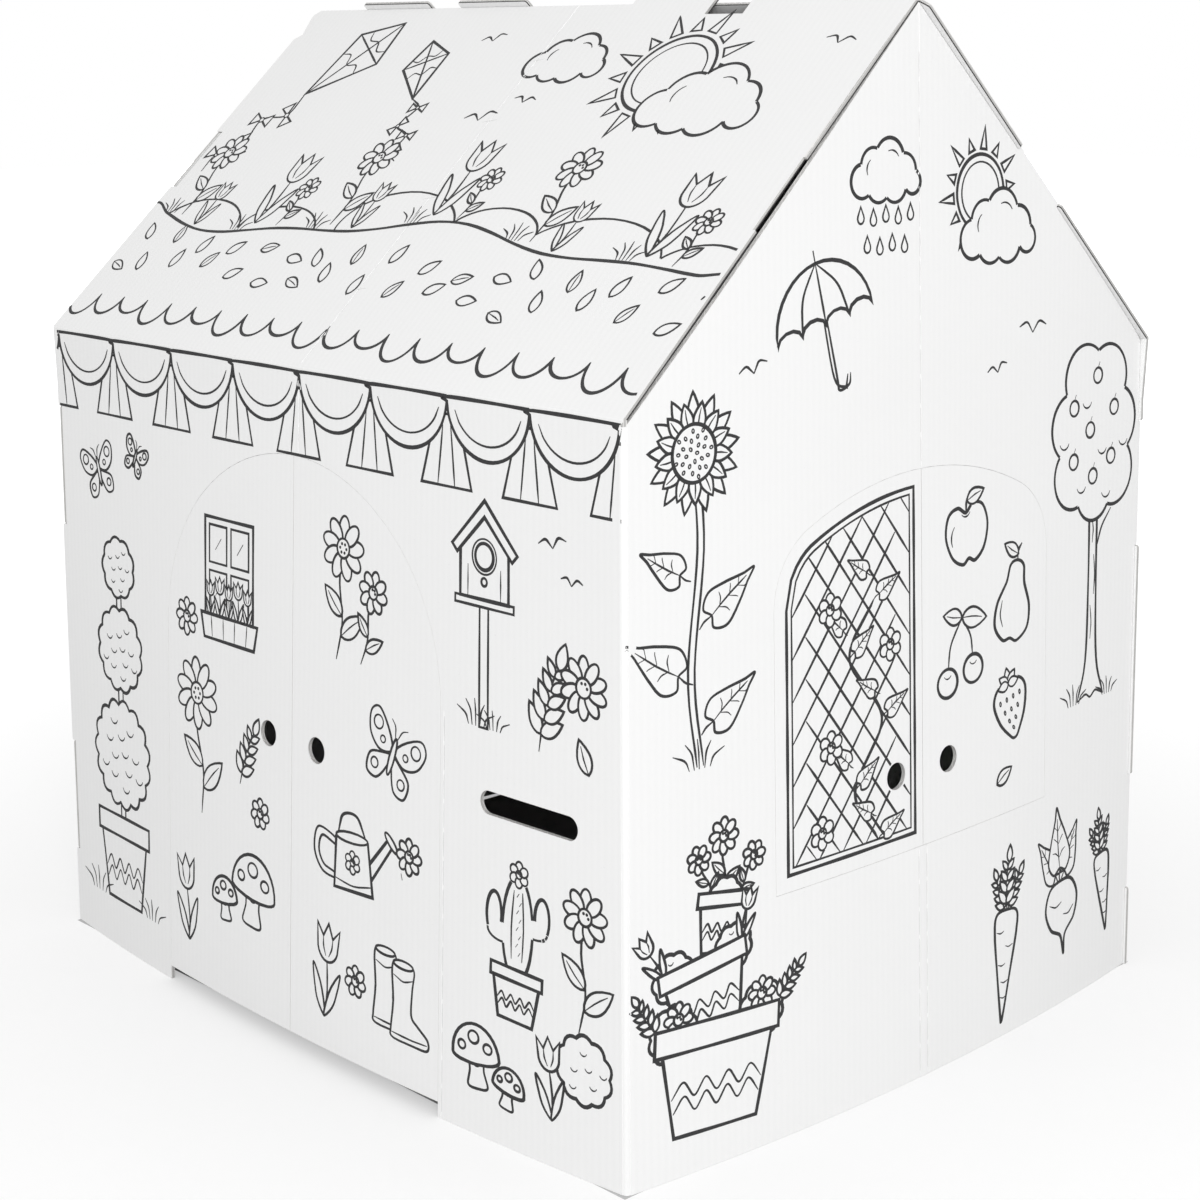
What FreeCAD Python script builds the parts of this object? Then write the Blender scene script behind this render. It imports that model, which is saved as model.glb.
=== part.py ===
"""Cardboard playhouse: two folded sheets that finger-joint into a gabled house, with swinging flaps.

Each sheet is a wall, a roof slope and a gable in one piece. The second sheet has the outline of the
first, turned half a turn about the upright axis, so the fingers of one meet the notches of the other.
Set up, the walls and gables bow outwards: each is straight along its top and an arc at the floor.
Millimetres, +Z up, front wall towards -Y, origin on the floor at the middle of the house.
"""
import FreeCAD, Part
import os
import Sketcher

SIZES = {
    # the house
    "board": 4.0,                # thickness of the corrugated board
    "house_width": 856.0,        # outer face of one gable to the other's
    "house_depth": 712.0,        # outer face of the front wall to the back wall's
    "eave_height": 650.0,
    "ridge_height": 980.0,
    "wall_bow": 26.0,            # outward bow of a wall, at the floor
    "gable_bow": 25.0,
    "fold_inside": 0.5,          # radius inside a folded corner
    "cut_gap": 0.4,              # clearance of one board in another's notch
    "eave_gap": 2.2,             # between a gable and its own roof slope, at the eave
    "spare_notch_depth": 3.0,    # notch in the roof edge over its own gable, which has no tab there
    "tip_radius": 2.5,           # rounded tips of fingers and tabs
    # scores, pressed into the outer face
    "score_width": 1.6,
    "score_depth": 0.5,
    "score_pair_offset": 5.5,    # of the twin scores under a window, from the middle
    "hinge_score_offset": 4.5,   # second score beside the right-hand door
    # how far fingers of wall and roof stand past the gable of the other sheet
    "wall_finger_proud": 3.0,
    "roof_finger_proud": 7.0,
    "finger_flare": 62.0,        # height over which the top finger of a wall widens to the roof's
    # tabs of a gable, up the far wall and then up the far roof slope
    "low_tab_base": 82.0,
    "low_tab_length": 120.0,
    "high_tab_below_eave": 84.0,
    "high_tab_length": 126.0,
    "slope_tab_start": 205.0,
    "slope_tab_length": 83.0,
    "gable_corner": 20.0,        # rounding of a gable under its far eave
    # ridge joint, as distances right of the middle of a roof slope
    "ridge_tab_proud": 7.0,
    "inner_tab_start": 76.0,
    "inner_tab_end": 184.0,
    "outer_tab_start": 233.0,
    "outer_tab_end": 345.0,
    "ridge_notch_depth": 20.0,
    "ridge_corner_cut": 7.0,     # snipped corner at the free end of the ridge
    # relief nicked into the free edge of the front slope, below the ridge
    "relief_below_ridge": 17.0,
    "relief_length": 34.0,
    "relief_step": 7.0,          # length over which it cuts in, from below
    "relief_depth": 9.0,
    # double door
    "door_middle": -7.0,
    "door_leaf": 214.0,
    "door_header": 83.0,         # wall left above the doorway's crown, up to the eave
    "door_rise": 196.0,
    "door_shoulder": 186.0,
    "door_clear": 14.0,          # space under the leaves
    "door_hole_offset": 38.0,
    "door_hole_height": 296.0,
    # window shutters
    "shutter_leaf": 191.0,
    "window_sill": 219.0,
    "window_spring": 466.0,
    "window_rise": 100.0,
    "window_shoulder": 74.0,
    "shutter_hole_offset": 37.0,
    "shutter_hole_height": 292.0,
    # shared by the flaps
    "finger_hole": 12.5,         # radius
    "flap_gap": 0.3,             # cut line round a flap, and its hinge line
    # mail slot
    "slot_length": 117.0,
    "slot_height": 21.0,
    "slot_from_corner": 111.0,
    "slot_middle": 302.0,
}

HALF_TURN = FreeCAD.Rotation(FreeCAD.Vector(0, 0, 1), 180)
HOLLOW = "hollow"   # marks an arc that bulges into its outline
BEYOND = 1          # how far a cutting outline reaches past the board it cuts
ON_PLANE = 1e-4     # how near a point lies to a plane that it is on


class Size:
    """A size written as an expression over the sheet, made with ordinary arithmetic."""

    def __init__(self, text):
        self.text = str(text)

    def __str__(self):
        return self.text

    def __add__(self, other):
        return Size(f"({self} + {other})")

    def __sub__(self, other):
        return Size(f"({self} - {other})")

    def __mul__(self, other):
        return Size(f"({self} * {other})")

    def __truediv__(self, other):
        return Size(f"({self} / {other})")

    def __neg__(self):
        return Size(f"(0 - {self})")

    def root(self):
        return Size(f"sqrt({self})")

    def arc_tangent(self):
        return Size(f"atan({self})")

    def or_more(self, other):
        return Size(f"max({self}; {other})")


def cell(name):
    """The size held by the sheet's cell of that name."""
    return Size(f"Sizes.{name}")


# Sizes that several sub-parts share.
ZERO = Size(0)
BOARD = cell("board")
GAP = cell("cut_gap")
HALF_WIDTH = cell("house_width") / 2
HALF_DEPTH = cell("house_depth") / 2
EAVE = cell("eave_height")
DOOR_SPRING = EAVE - cell("door_header") - cell("door_rise")     # height where the arch leaves the jambs
FOLD = cell("fold_inside") + BOARD
ROOF_RISE = cell("ridge_height") - EAVE
SLOPE = (HALF_DEPTH * HALF_DEPTH + ROOF_RISE * ROOF_RISE).root()
COSINE = HALF_DEPTH / SLOPE
SINE = ROOF_RISE / SLOPE
PITCH = (ROOF_RISE / HALF_DEPTH).arc_tangent()
HALF_BEND = (Size(1) - SINE) / COSINE       # tangent of half the angle that the board turns at the eave
FINGER_TIP = HALF_WIDTH + cell("roof_finger_proud")
NOTCH_FLOOR = HALF_WIDTH - BOARD - GAP
MITRE = (SINE / COSINE).or_more(Size(1) / (SINE * COSINE * 2))
RIDGE_CUT = SLOPE - BOARD * MITRE - GAP     # square edge, clear of the other slope and its tabs
SHELTERED = BOARD + GAP         # depth of a gable's sloping edge below the roof's outer face
HIGH_TAB_TOP = EAVE - cell("high_tab_below_eave")
TABS = (
    (cell("low_tab_base"), cell("low_tab_base") + cell("low_tab_length")),
    (HIGH_TAB_TOP - cell("high_tab_length"), HIGH_TAB_TOP),
)
SLOPE_TAB = (cell("slope_tab_start"), cell("slope_tab_start") + cell("slope_tab_length"))


class Panel:
    """A bowed wall or gable: an arc between its corners at the floor, and straight along its top."""

    def __init__(self, name, role, face, half_span, bow, top):
        self.name = name
        self.role = role        # the origin plane that it faces
        self.face = face        # distance of its corners' outer face from that plane
        self.half_span = half_span
        self.bow = bow
        self.top = top
        self.radius = (half_span * half_span + bow * bow) / (bow * 2)

    def stand_out(self, across, height):
        """Distance of the outer face from the origin plane at a place on the panel."""
        sag = (self.radius * self.radius - across * across).root() - self.radius + self.bow
        return self.face + sag * (Size(1) - height / self.top)

    def clear(self):
        """Distance of a plane in front of the panel that cuts can start from."""
        return self.face + self.bow + BOARD

    def through(self):
        """Length of a cut from there that passes right through the panel."""
        return self.bow + BOARD * 3


WALL = Panel("wall", "XZ_Plane", HALF_DEPTH, HALF_WIDTH, cell("wall_bow"), EAVE - FOLD * HALF_BEND)
GABLE = Panel("gable", "YZ_Plane", HALF_WIDTH, HALF_DEPTH, cell("gable_bow"), cell("ridge_height"))


def make_sizes(doc):
    """The spreadsheet of driving dimensions."""
    sheet = doc.addObject("Spreadsheet::Sheet", "Sizes")
    for row, (name, value) in enumerate(SIZES.items(), start=1):
        sheet.set(f"A{row}", name)
        sheet.set(f"B{row}", str(value))
        sheet.setAlias(f"B{row}", name)
    doc.recompute()


def make_body(doc, label, turned=False):
    """An empty body, turned half a turn about the upright axis where it belongs to the far side."""
    body = doc.addObject("PartDesign::Body", label)
    body.Label = label
    if turned:
        body.Placement = FreeCAD.Placement(FreeCAD.Vector(0, 0, 0), HALF_TURN)
    return body


class Outline:
    """A sketch on one of its body's own planes, with every point and radius tied to the sheet."""

    def __init__(self, body, name, role, lift):
        self.body = body
        self.name = name
        self.sketch = body.newObject("Sketcher::SketchObject", f"{name}_outline")
        plane = next(item for item in body.Origin.OriginFeatures if item.Role == role)
        self.sketch.AttachmentSupport = [(plane, "")]
        self.sketch.MapMode = "FlatFace"
        self.sketch.setExpression(".AttachmentOffset.Base.z", str(lift))

    def lean(self):
        """Tip a level sketch up on to the front roof slope, with its origin on the eave."""
        across = FreeCAD.Vector(1, 0, 0)
        level = self.sketch.AttachmentOffset.Base
        self.sketch.AttachmentOffset = FreeCAD.Placement(level, FreeCAD.Rotation(across, 45))
        self.sketch.setExpression(".AttachmentOffset.Base.y", str(-HALF_DEPTH))
        self.sketch.setExpression(".AttachmentOffset.Rotation.Angle", str(PITCH))
        return self

    def value(self, size):
        return float(self.sketch.evalExpression(str(size)))

    def tie(self, *terms):
        """Add a driving constraint whose last term is the size that it follows."""
        *where, size = terms
        index = self.sketch.addConstraint(Sketcher.Constraint(*where, self.value(size)))
        self.sketch.setExpression(f"Constraints[{index}]", str(size))

    def circle(self, x, y, radius):
        centre = FreeCAD.Vector(self.value(x), self.value(y), 0)
        facing = FreeCAD.Vector(0, 0, 1)
        index = self.sketch.addGeometry(Part.Circle(centre, facing, self.value(radius)))
        self.tie("DistanceX", -1, 1, index, 3, x)
        self.tie("DistanceY", -1, 1, index, 3, y)
        self.tie("Radius", index, radius)

    def loop(self, corners):
        """A closed line through (x, y) corners, anticlockwise.

        A corner (x, y, radius) ends an arc that bulges out of the outline, or into it where the corner
        also says HOLLOW."""
        points = [FreeCAD.Vector(self.value(x), self.value(y), 0) for x, y, *_ in corners]
        first = self.sketch.GeometryCount
        for start, end, corner in zip([points[-1], *points], points, corners):
            radius = self.value(corner[2]) if len(corner) > 2 else None
            self.sketch.addGeometry(edge_between(start, end, radius, HOLLOW in corner))
        finish = [1 if HOLLOW in corner else 2 for corner in corners]
        for index, (x, y, *curve) in enumerate(corners):
            line, after = first + index, (index + 1) % len(corners)
            self.sketch.addConstraint(Sketcher.Constraint(
                "Coincident", line, finish[index], first + after, 3 - finish[after]))
            self.tie("DistanceX", -1, 1, line, finish[index], x)
            self.tie("DistanceY", -1, 1, line, finish[index], y)
            if curve:
                self.tie("Radius", line, curve[0])

    def pad(self, length):
        """Draw the outline out into board."""
        feature = self.body.newObject("PartDesign::Pad", self.name)
        feature.Profile = self.sketch
        feature.setExpression("Length", str(length))
        self.body.Document.recompute()

    def cut(self, length, outwards=False):
        """Take the outline out of the board behind it, and see that it took something."""
        before = self.body.Shape.Volume
        feature = self.body.newObject("PartDesign::Pocket", self.name)
        feature.Profile = self.sketch
        feature.setExpression("Length", str(length))
        feature.Reversed = outwards
        self.body.Document.recompute()
        if self.body.Shape.Volume >= before:
            raise RuntimeError(f"{self.body.Label}: {self.name} cuts nothing")


def edge_between(start, end, radius, hollow):
    """A line, or the short arc that bulges to the right of the way, or to the left if it is hollow.

    A sketch's arcs all run anticlockwise, so a hollow one runs back from its end to its start."""
    if radius is None:
        return Part.LineSegment(start, end)
    if hollow:
        start, end = end, start
    chord = end - start
    half = chord.Length / 2
    left = FreeCAD.Vector(-chord.y, chord.x, 0) / chord.Length
    centre = (start + end) / 2 + left * (radius * radius - half * half) ** 0.5
    return Part.Arc(start, centre - left * radius, end)


def on_slope(along, depth, far=False):
    """A point of the gable's outline: how far up the roof slope, and how deep below its outer face."""
    reach = HALF_DEPTH - along * COSINE - depth * SINE
    return (reach if far else -reach, EAVE + along * SINE - depth * COSINE)


def add_panel(body, panel, low, high):
    """Stand a bowed panel between two corners across it, as a loft from the floor to its top.

    Walls run along X in front of the house and gables along Y on its right."""
    def place(across, out):
        return (out, across) if panel is GABLE else (across, -out)

    floor = Outline(body, f"{panel.name}_floor", "XY_Plane", ZERO)
    top = Outline(body, f"{panel.name}_top", "XY_Plane", panel.top)
    for outline, height in ((floor, ZERO), (top, panel.top)):
        near, far = panel.stand_out(low, height), panel.stand_out(high, height)
        outer = [panel.radius] if outline is floor else []
        inner = [panel.radius, HOLLOW] if outline is floor else []
        outline.loop([
            place(low, near),
            (*place(high, far), *outer),
            place(high, far - BOARD),
            (*place(low, near - BOARD), *inner),
        ])
    add_loft(body, panel.name, "PartDesign::AdditiveLoft", floor, top)


def add_loft(body, name, kind, low, high):
    """Join a low section to a high one with straight lines."""
    feature = body.newObject(kind, name)
    feature.Profile = low.sketch
    feature.Sections = [high.sketch]
    feature.Ruled = True
    body.Document.recompute()


def press_score(body, panel, name, across, low, high):
    """Press a straight score into the bowed face of a panel, from one height to another."""
    half = cell("score_width") / 2
    sections = []
    for level, height in (("foot", low), ("head", high)):
        face = panel.stand_out(across, height)
        bottom, above = face - cell("score_depth"), face + BEYOND
        section = Outline(body, f"{name}_{level}", "XY_Plane", height)
        if panel is GABLE:
            section.loop(rectangle(bottom, across - half, above, across + half))
        else:
            section.loop(rectangle(across - half, -above, across + half, -bottom))
        sections.append(section)
    add_loft(body, name, "PartDesign::SubtractiveLoft", *sections)


def roof_profile():
    """Section of the eave fold and the roof slope, up to the tips at the ridge."""
    ease = FOLD * HALF_BEND
    top = SLOPE + cell("ridge_tab_proud")
    return [
        (BOARD - HALF_DEPTH, EAVE - ease),
        (*on_slope(ease, BOARD), cell("fold_inside"), HOLLOW),
        on_slope(top, BOARD),
        on_slope(top, ZERO),
        on_slope(ease, ZERO),
        (-HALF_DEPTH, EAVE - ease, FOLD),
    ]


def wall_offcut():
    """What is cut from the wall's free edge, leaving fingers that pass the other sheet's gable."""
    outside = -(FINGER_TIP + BEYOND)
    tip = -(HALF_WIDTH + cell("wall_finger_proud"))
    steps = [(tip, ZERO - BEYOND)]
    for base, top in TABS:
        low, high = base - GAP, top + GAP
        steps += [(tip, low), (-NOTCH_FLOOR, low), (-NOTCH_FLOOR, high), (tip, high)]
    flare = (tip, EAVE - cell("finger_flare"))
    return [(outside, ZERO - BEYOND), *steps, flare, (-FINGER_TIP, EAVE), (outside, EAVE)]


def slope_notch(floor, outside):
    """The notch in a roof slope's edge that a gable's tab passes through."""
    start, end = SLOPE_TAB
    return rectangle(floor, start - GAP, outside, end + GAP)


def ridge_offcuts():
    """What is cut away along the ridge, leaving two tabs that stand past it."""
    outside = FINGER_TIP + BEYOND
    top = SLOPE + cell("ridge_tab_proud") + BEYOND
    deep = SLOPE - cell("ridge_notch_depth")
    snip = cell("ridge_corner_cut")
    left = [
        (-outside, RIDGE_CUT - snip),
        (-FINGER_TIP, RIDGE_CUT - snip),
        (snip - FINGER_TIP, RIDGE_CUT),
        (cell("inner_tab_start"), RIDGE_CUT),
        (cell("inner_tab_start"), top),
        (-outside, top),
    ]
    return [
        left,
        rectangle(cell("inner_tab_end"), deep, cell("outer_tab_start"), top),
        rectangle(cell("outer_tab_end"), RIDGE_CUT, outside, top),
    ]


def relief():
    """The nick in the free edge of the front slope, which cuts in sharply and runs out upwards."""
    outside = -(FINGER_TIP + BEYOND)
    high = SLOPE - cell("relief_below_ridge")
    low = high - cell("relief_length")
    deepest = (cell("relief_depth") - FINGER_TIP, low + cell("relief_step"))
    return [(outside, low), (-FINGER_TIP, low), deepest, (-FINGER_TIP, high), (outside, high)]


def rectangle(left, low, right, high):
    return [(left, low), (right, low), (right, high), (left, high)]


def gable_outline():
    """The gable: folded edge in front, tabs up the back edge and one on the far slope."""
    back, flush = HALF_DEPTH - SHELTERED, HALF_DEPTH
    tabs = []
    for base, top in TABS:
        tabs += [(back, base), (flush, base), (flush, top), (back, top)]
    start, end = SLOPE_TAB
    corner, ease = SHELTERED * HALF_BEND, cell("gable_corner") * HALF_BEND
    return [
        (-HALF_DEPTH, ZERO),
        (back, ZERO),
        *tabs,
        (back, EAVE - corner - ease),
        (*on_slope(corner + ease, SHELTERED, far=True), cell("gable_corner")),
        on_slope(start, SHELTERED, far=True),
        on_slope(start, ZERO, far=True),
        on_slope(end, ZERO, far=True),
        on_slope(end, SHELTERED, far=True),
        (ZERO, cell("ridge_height") - SHELTERED / COSINE),
        (-HALF_DEPTH, EAVE - (BOARD + cell("eave_gap")) / COSINE),
    ]


def corner_offcut():
    """The sharp corner outside the upright fold."""
    return [
        (HALF_WIDTH - FOLD, -(HALF_DEPTH + BEYOND)),
        (HALF_WIDTH + BEYOND, -(HALF_DEPTH + BEYOND)),
        (HALF_WIDTH + BEYOND, FOLD - HALF_DEPTH),
        (HALF_WIDTH, FOLD - HALF_DEPTH),
        (HALF_WIDTH - FOLD, -HALF_DEPTH, FOLD, HOLLOW),
    ]


def arch(half_width, spring, rise, shoulder):
    """A three-centred arch: its right-hand tangent point, and the radius and centre of its crown."""
    reach, lift = half_width - shoulder, rise - shoulder
    drop = (reach * reach - lift * lift) / (lift * 2)
    crown = drop + rise
    share = crown / (crown - shoulder)
    return reach * share, spring + drop * share - drop, crown, spring - drop


def archway(middle, half_width, sill, spring, rise, shoulder):
    """A straight-sided opening under a three-centred arch."""
    side, level, crown, _ = arch(half_width, spring, rise, shoulder)
    return [
        (middle - half_width, sill),
        (middle + half_width, sill),
        (middle + half_width, spring),
        (middle + side, level, shoulder),
        (middle - side, level, crown),
        (middle - half_width, spring, shoulder),
    ]


def half_archway(hand, middle, half_width, split, sill, spring, rise, shoulder):
    """One leaf of an arched pair, on the right for hand 1 and on the left for -1."""
    side, level, crown, centre = arch(half_width, spring, rise, shoulder)
    top = centre + (crown * crown - split * split).root()
    bulge = [HOLLOW] if hand < 0 else []
    return [
        (middle + split * hand, sill),
        (middle + half_width * hand, sill),
        (middle + half_width * hand, spring),
        (middle + side * hand, level, shoulder, *bulge),
        (middle + split * hand, top, crown, *bulge),
    ]


def round_tips(body, name, is_tip):
    """Round the edges through the board at the tips of its fingers, where both ends are on a tip."""
    base = body.Tip
    board = BoardFrame(body.Document).board
    edges = [
        f"Edge{number}" for number, edge in enumerate(base.Shape.Edges, start=1)
        if abs(edge.Length - board) < ON_PLANE and all(is_tip(end.Point) for end in edge.Vertexes)]
    fillet = body.newObject("PartDesign::Fillet", name)
    fillet.Base = (base, edges)
    fillet.setExpression("Radius", str(cell("tip_radius")))
    body.Document.recompute()


class BoardFrame:
    """Numbers read back from the sheet, to tell which edges of an upright sheet are tips."""

    def __init__(self, doc):
        read = doc.getObject("Sizes").get
        self.board = read("board")
        self.half_depth = read("house_depth") / 2
        self.half_width = read("house_width") / 2
        self.wall_tip = -(self.half_width + read("wall_finger_proud"))
        self.roof_tip = -(self.half_width + read("roof_finger_proud"))
        self.eave = read("eave_height")
        self.flare = self.eave - read("finger_flare")
        rise = read("ridge_height") - self.eave
        slope = (self.half_depth ** 2 + rise ** 2) ** 0.5
        self.up = FreeCAD.Vector(0, self.half_depth, rise) / slope
        self.out = FreeCAD.Vector(0, -rise, self.half_depth) / slope
        self.ridge_tip = slope + read("ridge_tab_proud")

    def from_eave(self, point):
        return point - FreeCAD.Vector(0, -self.half_depth, self.eave)

    def on_wall_finger(self, point):
        return abs(point.x - self.wall_tip) < ON_PLANE and 0 < point.z < self.flare - ON_PLANE

    def on_roof_finger(self, point):
        return abs(point.x - self.roof_tip) < ON_PLANE and point.z > self.eave

    def on_ridge_tab(self, point):
        return abs(self.from_eave(point).dot(self.up) - self.ridge_tip) < ON_PLANE

    def on_back_tab(self, point):
        return abs(point.y - self.half_depth) < ON_PLANE and 0 < point.z < self.eave

    def on_slope_tab(self, point):
        """On a gable's tab, flush with the far roof slope."""
        mirrored = FreeCAD.Vector(point.x, -point.y, point.z)
        return point.y > 0 and abs(self.from_eave(mirrored).dot(self.out)) < ON_PLANE


def add_sheet(doc, label, turned=False):
    """A folded sheet without the openings that only one of the two has."""
    body = make_body(doc, label, turned)
    frame = BoardFrame(doc)
    add_gable(body)
    round_tips(body, "back_tips", frame.on_back_tab)
    round_tips(body, "slope_tips", frame.on_slope_tab)
    add_panel(body, WALL, -FINGER_TIP, HALF_WIDTH)
    wall_edge = Outline(body, "wall_edge", WALL.role, WALL.clear())
    wall_edge.loop(wall_offcut())
    wall_edge.cut(WALL.through())
    round_tips(body, "wall_tips", frame.on_wall_finger)
    add_roof(body)
    round_tips(body, "roof_tips", frame.on_roof_finger)
    round_tips(body, "ridge_tips", frame.on_ridge_tab)
    upright_fold = Outline(body, "upright_fold", "XY_Plane", ZERO)
    upright_fold.loop(corner_offcut())
    upright_fold.cut(EAVE - SHELTERED / COSINE, outwards=True)
    roof_score = Outline(body, "roof_score", "XY_Plane", EAVE).lean()
    half = cell("score_width") / 2
    roof_score.loop(rectangle(-half, FOLD, half, SLOPE))
    roof_score.cut(cell("score_depth"))
    return body


def add_gable(body):
    """The gable, with its window, the crease that lets it fold flat and twin scores under the window."""
    add_panel(body, GABLE, -HALF_DEPTH, HALF_DEPTH)
    trim = Outline(body, "gable_trim", GABLE.role, GABLE.clear())
    reach = HALF_DEPTH + BEYOND
    trim.loop(rectangle(-reach, ZERO - BEYOND, reach, cell("ridge_height") + BEYOND))
    trim.loop(gable_outline())
    trim.cut(GABLE.through())
    window = Outline(body, "window", GABLE.role, GABLE.clear())
    window.loop(archway(
        ZERO, cell("shutter_leaf"), cell("window_sill"), cell("window_spring"),
        cell("window_rise"), cell("window_shoulder")))
    window.cut(GABLE.through())
    top, pair = cell("window_spring") + cell("window_rise"), cell("score_pair_offset")
    press_score(body, GABLE, "gable_crease", ZERO, top + BEYOND, cell("ridge_height"))
    press_score(body, GABLE, "front_score", -pair, ZERO, cell("window_sill") - BEYOND)
    press_score(body, GABLE, "rear_score", pair, ZERO, cell("window_sill") - BEYOND)


def add_roof(body):
    """The roof slope, with notches for the gables' tabs and tabs of its own past the ridge."""
    roof = Outline(body, "roof", "YZ_Plane", -FINGER_TIP)
    roof.loop(roof_profile())
    roof.pad(HALF_WIDTH + FINGER_TIP)
    through = BOARD + GAP / 2       # deep enough for the roof, and clear of the gable under it
    edges = Outline(body, "roof_edges", "XY_Plane", EAVE).lean()
    edges.loop(slope_notch(-(FINGER_TIP + BEYOND), -NOTCH_FLOOR))
    edges.loop(slope_notch(HALF_WIDTH - cell("spare_notch_depth"), HALF_WIDTH + BEYOND))
    edges.cut(through)
    ridge = Outline(body, "ridge", "XY_Plane", EAVE).lean()
    for offcut in ridge_offcuts():
        ridge.loop(offcut)
    ridge.cut(through)


def open_front(body):
    """Cut the doorway, the mail slot and the roof's relief, which only the front sheet has."""
    roof_relief = Outline(body, "roof_relief", "XY_Plane", EAVE).lean()
    roof_relief.loop(relief())
    roof_relief.cut(BOARD * 2)
    doorway = Outline(body, "doorway", WALL.role, WALL.clear())
    doorway.loop(archway(
        cell("door_middle"), cell("door_leaf"), ZERO - BEYOND, DOOR_SPRING,
        cell("door_rise"), cell("door_shoulder")))
    doorway.cut(WALL.through())
    mail_slot = Outline(body, "mail_slot", WALL.role, WALL.clear())
    across, up = HALF_WIDTH - cell("slot_from_corner"), cell("slot_middle")
    radius, reach = cell("slot_height") / 2, cell("slot_length") / 2
    straight = reach - radius
    mail_slot.loop([
        (across - straight, up - radius, radius),
        (across + straight, up - radius),
        (across + reach, up, radius),
        (across + straight, up + radius, radius),
        (across - straight, up + radius),
        (across - reach, up, radius),
    ])
    mail_slot.cut(WALL.through())
    crown = DOOR_SPRING + cell("door_rise")
    beside = cell("door_middle") + cell("door_leaf") + cell("hinge_score_offset")
    press_score(body, WALL, "crown_crease", ZERO, crown + BEYOND, EAVE - FOLD)
    press_score(body, WALL, "hinge_score", beside, ZERO, DOOR_SPRING)


def add_flap(doc, label, panel, corners, hole, turned=False):
    """A flap, cut from the same bowed panel as the opening that it closes, with its finger hole."""
    body = make_body(doc, label, turned)
    add_panel(body, panel, -panel.half_span, panel.half_span)
    offcut = Outline(body, "offcut", panel.role, panel.clear())
    reach = panel.half_span + BEYOND
    offcut.loop(rectangle(-reach, ZERO - BEYOND, reach, panel.top + BEYOND))
    offcut.loop(corners)
    offcut.circle(*hole, cell("finger_hole"))
    offcut.cut(panel.through())
    return body


def add_door(doc, label, hand):
    """A leaf of the double door."""
    gap = cell("flap_gap")
    corners = half_archway(
        hand, cell("door_middle"), cell("door_leaf") - gap, gap, cell("door_clear"),
        DOOR_SPRING, cell("door_rise") - gap, cell("door_shoulder") - gap)
    hole = (cell("door_middle") + cell("door_hole_offset") * hand, cell("door_hole_height"))
    return add_flap(doc, label, WALL, corners, hole)


def add_shutter(doc, label, hand, turned=False):
    """A shutter of a gable window."""
    gap = cell("flap_gap")
    corners = half_archway(
        hand, ZERO, cell("shutter_leaf") - gap, gap, cell("window_sill") + gap,
        cell("window_spring"), cell("window_rise") - gap, cell("window_shoulder") - gap)
    hole = (cell("shutter_hole_offset") * hand, cell("shutter_hole_height"))
    return add_flap(doc, label, GABLE, corners, hole, turned)


def check(doc, pieces):
    """Stop if anything in the document failed or a piece has no sound shape."""
    doc.recompute()
    for item in doc.Objects:
        if {"Invalid", "Error"} & set(item.State):
            raise RuntimeError(f"{item.Name} failed: {item.State}")
    for piece in pieces:
        if piece.Shape.isNull() or not piece.Shape.isValid() or len(piece.Shape.Solids) != 1:
            raise RuntimeError(f"{piece.Label} is not one sound solid")


def main():
    doc = FreeCAD.newDocument("playhouse")
    make_sizes(doc)
    front_sheet = add_sheet(doc, "front_sheet")
    open_front(front_sheet)
    rear_sheet = add_sheet(doc, "rear_sheet", turned=True)
    press_score(rear_sheet, WALL, "back_crease", ZERO, ZERO, EAVE - FOLD)
    pieces = [
        front_sheet,
        rear_sheet,
        add_door(doc, "door_left", -1),
        add_door(doc, "door_right", 1),
        add_shutter(doc, "right_shutter_front", -1),
        add_shutter(doc, "right_shutter_rear", 1),
        add_shutter(doc, "left_shutter_rear", -1, turned=True),
        add_shutter(doc, "left_shutter_front", 1, turned=True),
    ]
    check(doc, pieces)
    os.makedirs("parts", exist_ok=True)
    for piece in pieces:
        piece.Shape.exportStep(f"parts/{piece.Label}.step")
        box = piece.Shape.optimalBoundingBox(True, False)
        print(f"{piece.Label}: {box.XLength:.1f} x {box.YLength:.1f} x {box.ZLength:.1f} mm")


main()
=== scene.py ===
"""Looks of the cardboard playhouse: white corrugated board with line drawings to colour in.

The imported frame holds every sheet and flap. This file gives the board its paper, its cut edges and its print,
and sets the house on a pale floor. Everything is in metres in the frame's own axes; drawings are laid out
in millimetres on the flat face of a panel and then put on its bowed one.
"""

import itertools
import logging
import math
from dataclasses import dataclass, field, replace
from enum import Enum
from functools import partial
from typing import Callable, Sequence

import bmesh
import bpy
import numpy as np
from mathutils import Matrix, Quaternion, Vector


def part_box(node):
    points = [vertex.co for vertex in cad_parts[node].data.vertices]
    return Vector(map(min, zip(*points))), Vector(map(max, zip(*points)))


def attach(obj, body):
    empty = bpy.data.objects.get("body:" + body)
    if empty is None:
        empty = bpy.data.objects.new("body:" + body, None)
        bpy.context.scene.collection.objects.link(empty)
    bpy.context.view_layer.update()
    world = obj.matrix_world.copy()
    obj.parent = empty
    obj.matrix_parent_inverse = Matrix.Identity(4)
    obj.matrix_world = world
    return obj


LOG = logging.getLogger("playhouse")
MM = 0.001
FLUTE = 0.0076        # metres from one flute of the board to the next
FRONT_SKIN = 0.002    # metres behind the flat front within which a corner of the mesh belongs to it

Triple = tuple[float, float, float]
PLAIN: Triple = (1.0, 1.0, 1.0)
WHITE = (*PLAIN, 1.0)

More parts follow.
